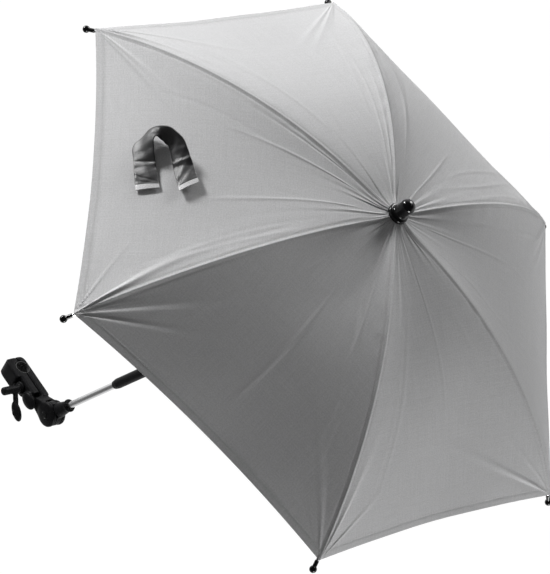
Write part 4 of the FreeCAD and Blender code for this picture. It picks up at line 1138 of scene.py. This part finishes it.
@dataclass
class TieStrap:
    """Cloth strap that ties the closed canopy: one ribbon bent over, its bend standing up from the cloth.

    The two edges are given by points of (down, aside, lift) in metres from a spot on the gore.
    """

    canopy: Canopy
    finishes: Finishes
    gore: int = 3
    rib: int = 3
    share: float = 0.735
    across: float = 0.44
    width: float = 0.0235
    thick: float = 0.0011
    steps: int = 420
    strips: int = 20
    settling: int = 12
    hem: float = 0.0056
    hem_lift: float = 0.0006
    belly: float = 0.0007
    crease_lift: float = 0.0008
    crumple_lift: float = 0.00016
    flat_by_hem: float = 0.002
    stitch_inset: float = 0.001
    stitch_width: float = 0.0008
    step: float = 1e-3
    reach: float = 0.02
    length: float = field(init=False, default=0.0)
    creases: tuple = (
        (0.055, 0.1, -0.35, 0.0016), (0.085, 0.3, -0.6, 0.0014), (0.13, -0.5, 0.3, 0.0024),
        (0.20, -0.25, 0.5, 0.0022), (0.225, -0.15, -0.5, 0.0016), (0.66, 0.7, -0.3, 0.0022),
        (0.70, 0.3, 0.4, 0.0026), (0.785, 0.25, 0.9, 0.0022), (0.825, 0.35, -0.35, 0.002),
    )
    crumple: tuple = ((310.0, 150.0, 0.4), (190.0, -420.0, 2.1), (520.0, 330.0, 4.0))
    outer: tuple = (
        (0.0484, -0.0404, 0.0018), (0.030, -0.0428, 0.0026), (0.0135, -0.0444, 0.0024),
        (-0.003, -0.0458, 0.0028), (-0.013, -0.038, 0.004), (-0.022, -0.029, 0.009),
        (-0.018, -0.0153, 0.021), (-0.011, -0.004, 0.0215), (-0.0036, 0.0044, 0.018),
        (0.013, 0.0134, 0.008), (0.025, 0.018, 0.0058), (0.0369, 0.0216, 0.0056),
    )
    inner: tuple = (
        (0.0444, -0.0168, 0.0018), (0.031, -0.0195, 0.0028), (0.018, -0.022, 0.0042),
        (0.005, -0.025, 0.012), (-0.003, -0.0262, 0.018), (-0.0075, -0.023, 0.017),
        (-0.009, -0.0155, 0.004), (-0.006, -0.0105, 0.0014), (0.0031, -0.0076, 0.0014),
        (0.0244, -0.0037, 0.0022), (0.037, -0.0005, 0.0042), (0.0493, 0.0027, 0.0056),
    )

    def axes(self) -> tuple[Array, Array]:
        """Spot on the cloth and its directions down, aside and outwards.

        Returns:
            The spot, and the three unit vectors as rows, in the head's frame.
        """
        spot = self.canopy.base(self.gore, np.array(self.share), np.array(self.across))
        down = self.canopy.base(self.gore, np.array(self.share), np.array(self.across + self.reach)) - spot
        aside = self.canopy.base(self.gore, np.array(self.share - self.reach), np.array(self.across)) - spot
        down /= np.linalg.norm(down)
        out = np.cross(aside, down)
        out *= math.copysign(1.0, out[2]) / np.linalg.norm(out)
        return spot, np.array([down, np.cross(out, down), out])

    @staticmethod
    def curve(points: Sequence, places: Array) -> Array:
        """Smooth curve through points.

        Args:
            points: Points to pass, evenly numbered from 0.
            places: Where to read the curve, in those numbers.

        Returns:
            Points of the curve.
        """
        rail = np.array(points)
        rail = np.concatenate([[2 * rail[0] - rail[1]], rail, [2 * rail[-1] - rail[-2]]])
        cell = np.clip(places.astype(int), 0, len(points) - 2)
        part = (places - cell)[:, None]
        before, first, second, after = (rail[cell + i] for i in range(4))
        return 0.5 * (
            2 * first
            + (second - before) * part
            + (2 * before - 5 * first + 4 * second - after) * part**2
            + (3 * first - before - 3 * second + after) * part**3
        )

    def ribbon(self) -> Piece:
        """The bent ribbon.

        Returns:
            The ribbon with its turned-in ends.
        """
        spot, axes = self.axes()
        places = np.linspace(0, len(self.outer) - 1, self.steps)
        outer = self.curve(self.outer, places)
        inner = self.curve(self.inner, places)
        middle = (outer + inner) / 2
        run = np.concatenate([[0], np.cumsum(np.linalg.norm(np.diff(middle, axis=0), axis=1))])
        along = np.gradient(middle, axis=0)
        normal = unit(np.cross(along, outer - inner))
        normal *= np.where(normal[:1, 2:] < 0, -1.0, 1.0)
        flat = np.abs(normal[:, 2])
        end = np.minimum(run, run[-1] - run)
        turned = self.hem_lift * ramp(self.hem - end, self.hem_lift)
        share = np.linspace(0, 1, self.strips + 1)
        belly = self.belly * np.sin(np.pi * share)
        ripple = np.zeros((len(run), len(share)))
        for place, slant, strength, wide in self.creases:
            off = run[:, None] - place * run[-1] - slant * self.width * (share[None, :] - 0.5)
            ripple = ripple + self.crease_lift * strength * bell(off, wide)
        for by_run, by_width, start in self.crumple:
            phase = by_run * run[:, None] + by_width * self.width * share[None, :] + start
            ripple = ripple + self.crumple_lift * np.sin(phase)
        ripple = ripple * ramp(end - self.hem, self.flat_by_hem)[:, None]
        height = ripple + belly[None, :] * flat[:, None] + turned[:, None]
        points = inner[:, None] + (outer - inner)[:, None] * share[None, :, None]
        points = points + normal[:, None] * height[..., None]
        rest = self.canopy.head.place(self.settle(spot, axes, points.reshape(-1, 3)))
        made = mesh_object("tie_strap_ribbon", rest, grid_faces(self.steps, self.strips + 1))
        self._lay_out(made, run, end)
        wear(smooth(made), self.finishes.strap)
        thicken(made, self.thick)
        return made

    def settle(self, spot: Array, axes: Array, points: Array) -> Array:
        """Bend the ribbon with the cloth under it.

        Args:
            spot: Where the strap is sewn, in the head's frame.
            axes: Directions down, aside and outwards.
            points: Points of (down, aside, lift).

        Returns:
            Points in the head's frame, their lift measured from the cloth.
        """

        def cloth(share: Array, across: Array) -> Array:
            """Cloth under the strap, down, aside and outwards of the spot."""
            return (self.canopy.base(self.gore, share, across) - spot) @ axes.T

        share = np.full(len(points), self.share)
        across = np.full(len(points), self.across)
        for _ in range(self.settling):
            here = cloth(share, across)
            by_share = cloth(share + self.step, across) - here
            by_across = cloth(share, across + self.step) - here
            miss = points[:, :2] - here[:, :2]
            scale = (by_share[:, 0] * by_across[:, 1] - by_share[:, 1] * by_across[:, 0]) / self.step
            share = share + (miss[:, 0] * by_across[:, 1] - miss[:, 1] * by_across[:, 0]) / scale
            across = across + (by_share[:, 0] * miss[:, 1] - by_share[:, 1] * miss[:, 0]) / scale
        ground = cloth(share, across)
        moved = np.column_stack([points[:, :2], points[:, 2] + ground[:, 2]])
        return spot + moved @ axes

    def _lay_out(self, made: Piece, run: Array, end: Array) -> None:
        """Add UVs in metres, painted shade along the stitch lines by the ends, and mark the turned-in ends.

        Args:
            made: The ribbon.
            run: Place of each row along the ribbon.
            end: Distance of each row from the nearer end.
        """
        mesh = made.data
        width = np.linspace(-0.5, 0.5, self.strips + 1) * self.width
        v, u = np.meshgrid(run, width, indexing="ij")
        corner = corners_of(mesh)
        set_cut(mesh, u.ravel()[corner], v.ravel()[corner])
        # painted shade along the stitch line by each end, stored as the sewn number
        sewn = bell(end - self.hem + self.stitch_inset, self.stitch_width)
        bound = ramp(self.hem - end, self.hem_lift)
        for name, values in (("sewn", sewn), ("bound", bound)):
            set_mark(mesh, name, np.repeat(values, self.strips + 1))
        self.length = float(run[-1])

    def build(self) -> Piece:
        """Make the strap and let it fold with the cloth.

        Returns:
            The strap.
        """
        made = self.ribbon()
        self.canopy.fold(made, self.rib)
        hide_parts("tie_strap")
        return made


@dataclass
class Hardware:
    """Rigid pieces of the clamp, pole, head and ribs, dressed by their slots."""

    finishes: Finishes
    turned: tuple[str, ...] = ("rib_rivet", "clamp_stud", "tilt_pin")

    def dress(self, record: dict) -> int:
        """Give each rigid node its finish.

        Args:
            record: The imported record, which names each node's slot.

        Returns:
            Number of nodes dressed.
        """
        count = 0
        for entry in record["subparts"]:
            node = entry["node"]
            item = frame["nodes"][node]
            finish = self.finishes.slots[Slot(entry["material_slot"])]
            if node.startswith(self.turned):
                finish = self.finishes.rivet
            for place in item.material_slots:
                place.material = finish
            if not item.material_slots:
                item.data.materials.append(finish)
            count += 1
        return count


@dataclass(frozen=True)
class Swell:
    """Rounded mass that is moulded in one with a piece of the clamp.

    Places are along the clamp, along its screw and across both, in metres from the bore.
    """

    centre: Triple
    radii: Triple
    turn: float = 0.0
    square: bool = False


@dataclass
class Mouldings:
    """Moulded pieces of the clamp with their edges softened as they leave the mould."""

    finishes: Finishes
    voxel: float = 0.0006
    weld: float = 1e-6
    lean: float = math.radians(26.0)
    nose: tuple[float, float, float, float] = (-0.0075, 0.01, 0.4, 0.75)
    pieces: tuple = (("upper_jaw", 60), ("lower_jaw", 60), ("pole_socket", 24), ("wing_knob", 12))
    swells: dict = field(
        default_factory=lambda: {
            "upper_jaw": (Swell((0.070, -0.0088, 0.007), (0.0152, 0.0028, 0.0152)),),
            "lower_jaw": (
                Swell((-0.0020, -0.0134, 0.0), (0.0142, 0.0028, 0.0108), square=True),
                Swell((0.0415, -0.0134, 0.0005), (0.0125, 0.0039, 0.0095)),
            ),
            "wing_knob": (
                Swell((0.0440, -0.0268, -0.0124), (0.0125, 0.0046, 0.0062), turn=math.radians(28.4)),
            ),
        }
    )

    def axes(self) -> Matrix:
        """Directions along the clamp, along its screw and across both, as a matrix."""
        return Matrix.Rotation(-self.lean, 3, "Y")

    def grow(self, work: bmesh.types.BMesh, swell: Swell) -> None:
        """Add a rounded mass to a piece.

        Args:
            work: Mesh of the piece.
            swell: The mass.
        """
        if swell.square:
            mass = bmesh.ops.create_cube(work, size=2.0)
        else:
            mass = bmesh.ops.create_icosphere(work, subdivisions=4, radius=1.0)
        turned = Matrix.Rotation(swell.turn, 3, "Y")
        for vertex in mass["verts"]:
            size = Vector(c * r for c, r in zip(vertex.co, swell.radii))
            vertex.co = self.axes() @ (turned @ size + Vector(swell.centre))

    def round_nose(self, made: Piece) -> None:
        """Draw the jaw's end in to a round nose.

        Args:
            made: The jaw.
        """
        start, length, near_depth, far_depth = self.nose
        axes = self.axes()
        for vertex in made.data.vertices:
            place = axes.transposed() @ vertex.co
            part = min(max((start - place.x) / length, 0.0), 1.0)
            depth = far_depth if place.y > 0 else near_depth
            narrow = math.sqrt(1.0 - depth * part * part)
            vertex.co = axes @ Vector((place.x, place.y * narrow, place.z))

    def soften(self, node: str, passes: int) -> Piece:
        """Copy of a node with rounded edges.

        Args:
            node: Name of the node that it stands for.
            passes: Smoothing passes; more give a larger round.

        Returns:
            The rounded piece as a plain mesh.
        """
        mesh = frame["nodes"][node].data.copy()
        work = bmesh.new()
        work.from_mesh(mesh)
        bmesh.ops.remove_doubles(work, verts=work.verts, dist=self.weld)
        for swell in self.swells.get(node, ()):
            self.grow(work, swell)
        work.to_mesh(mesh)
        work.free()
        made = add_object(node + "_moulding", mesh)
        skin = made.modifiers.new("skin", "REMESH")
        skin.mode = "VOXEL"
        skin.voxel_size = self.voxel
        plain(made)
        if node.endswith("jaw"):
            self.round_nose(made)
        soft = made.modifiers.new("soft", "SMOOTH")
        soft.factor = 0.5
        soft.iterations = passes
        return wear(smooth(plain(made)), self.finishes.black)

    def build(self, bodies: dict) -> int:
        """Make each piece in place of its node.

        Args:
            bodies: Nodes of each body.

        Returns:
            Number of pieces made.
        """
        home = {node: body for body, nodes in bodies.items() for node in nodes}
        for node, passes in self.pieces:
            made = self.soften(node, passes)
            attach(made, home[node])
            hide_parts(node)
        return len(self.pieces)


@dataclass
class Studio:
    """Camera at the photograph's angle, soft lamps, pale floor and white surroundings."""

    head: HeadFrame
    focal: float = 3050.0
    picture: tuple[int, int] = (550, 574)
    right: Triple = (0.2971487, 0.7230708, 0.6235955)
    down: Triple = (0.9472468, -0.1410828, -0.2877832)
    forward: Triple = (-0.1201090, 0.6762132, -0.7268490)
    stand: Triple = (0.36483, -2.19596, 2.43635)
    sensor: float = 36.0
    far: float = 50.0
    aim_height: float = 0.22
    floor_level: float = -1.0
    floor_side: float = 14.0
    floor_grey: float = 0.85
    floor_glow: float = 1.03
    floor_share: float = 0.96
    ambient: float = 0.15
    dark: float = 0.06
    back: tuple[float, float] = (-0.17, 0.98)
    paper_edge: tuple[float, float] = (-0.9, -0.2)
    wall_edge: tuple[float, float] = (-0.1, 0.5)
    wall_top: tuple[float, float] = (0.35, 0.8)
    reach: float = 3.6
    boxes: tuple = (
        ("key_box", 202.0, -3.0, 0.7, 166.0),
        ("rear_box", -2.0, -4.0, 1.2, 116.0),
        ("top_box", 128.0, 34.0, 1.2, 74.0),
    )

    def camera(self) -> None:
        """Place the camera."""
        data = bpy.data.cameras.new("photo_camera")
        data.sensor_width = self.sensor
        data.lens = self.focal * data.sensor_width / max(self.picture)
        data.clip_end = self.far
        made = add_object("photo_camera", data)
        place = Matrix.Identity(4)
        for row in range(3):
            place[row][0] = self.right[row]
            place[row][1] = -self.down[row]
            place[row][2] = -self.forward[row]
            place[row][3] = self.head.pivot[row] + self.stand[row]
        made.matrix_world = place
        bpy.context.scene.camera = made

    def lamp(self, name: str, source: Array, aim: Array, size: float, power: float) -> None:
        """Add a square soft box.

        Args:
            name: Name of the lamp.
            source: Where it stands.
            aim: What it faces.
            size: Side of the box in metres.
            power: Watts.
        """
        data = bpy.data.lights.new(name, "AREA")
        data.shape = "SQUARE"
        data.size = size
        data.energy = power
        turn = (Vector(aim) - Vector(source)).to_track_quat("-Z", "Y")
        add_object(name, data).matrix_world = Matrix.Translation(Vector(source)) @ turn.to_matrix().to_4x4()

    @staticmethod
    def _rays(graph: Graph) -> tuple[Value, Value]:
        """Shares that are 1 for camera rays, and for mirror and glass rays."""
        path = graph.node("ShaderNodeLightPath").outputs
        mirror = Value(graph, path["Is Glossy Ray"]).most(Value(graph, path["Is Transmission Ray"]))
        return Value(graph, path["Is Camera Ray"]), mirror

    def surroundings(self) -> None:
        """White world to look at, soft ambient light on the object, a white back wall in mirrors."""
        world = bpy.data.worlds.new("studio")
        graph = Graph("studio_light", world)
        camera, mirror = self._rays(graph)
        x, y, z = graph.split(graph.coords(Coord.GENERATED))
        wall = (y * self.back[1] + x * self.back[0]).step(*self.wall_edge)
        wall = wall * (1.0 - z.step(*self.wall_top))
        level = self.ambient + (wall * (1.0 - self.dark) + self.dark - self.ambient) * mirror
        level = level.most(camera)
        light = graph.node("ShaderNodeBackground", None, {"Color": (1.0, 1.0, 1.0, 1.0), "Strength": level})
        graph.tree.links.new(light.outputs[0], graph.output.inputs[0])
        bpy.context.scene.world = world

    def floor(self) -> None:
        """Pale floor under the pram's handle height, white as far as the set reaches."""
        ends = ((-1, -1), (1, -1), (1, 1), (-1, 1))
        corners = np.array([(x * self.floor_side, y * self.floor_side, self.floor_level) for x, y in ends])
        made = mesh_object("floor", corners, [(0, 1, 2, 3)])
        graph = Graph("pale_floor")
        camera, mirror = self._rays(graph)
        x, y, _ = graph.split(graph.coords(Coord.OBJECT))
        paper = (y * self.back[1] + x * self.back[0]).step(*self.paper_edge)
        level = camera.most(paper * (1.0 - self.dark) + self.dark)
        glow = {"Color": (1.0, 1.0, 1.0, 1.0), "Strength": level * self.floor_glow}
        shown = graph.node("ShaderNodeEmission", None, glow)
        matt = graph.node("ShaderNodeBsdfDiffuse", None, {"Color": (*[self.floor_grey] * 3, 1.0)})
        share = camera.most(mirror) * self.floor_share
        mix = graph.node("ShaderNodeMixShader", None, [share, matt.outputs[0], shown.outputs[0]])
        graph.tree.links.new(mix.outputs[0], graph.output.inputs[0])
        wear(made, graph.material)

    def build(self) -> None:
        """Set up the whole studio."""
        bpy.context.scene.view_settings.view_transform = "Standard"
        self.camera()
        self.surroundings()
        self.floor()
        centre = self.head.place(np.array([0.0, 0.0, self.aim_height]))
        for name, turn, climb, size, power in self.boxes:
            turn, climb = math.radians(turn), math.radians(climb)
            flat = math.cos(climb)
            way = np.array((flat * math.cos(turn), flat * math.sin(turn), math.sin(climb)))
            self.lamp(name, centre + self.reach * way, centre, size, power)


def main() -> None:
    """Build the parasol in order and report each step."""
    logging.basicConfig(level=logging.INFO, format="%(name)s: %(message)s")
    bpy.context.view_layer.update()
    record = frame["record"]
    head = HeadFrame(record)
    finishes = Finishes()
    LOG.info("dressed %d nodes", Hardware(finishes).dress(record))
    canopy = Canopy(head, finishes)
    LOG.info("sewed %d panels", canopy.build())
    TieStrap(canopy, finishes).build()
    LOG.info("softened %d mouldings", Mouldings(finishes).build(record["behaviour"]["bodies"]))
    Studio(head).build()


if __name__ == "__main__":
    main()
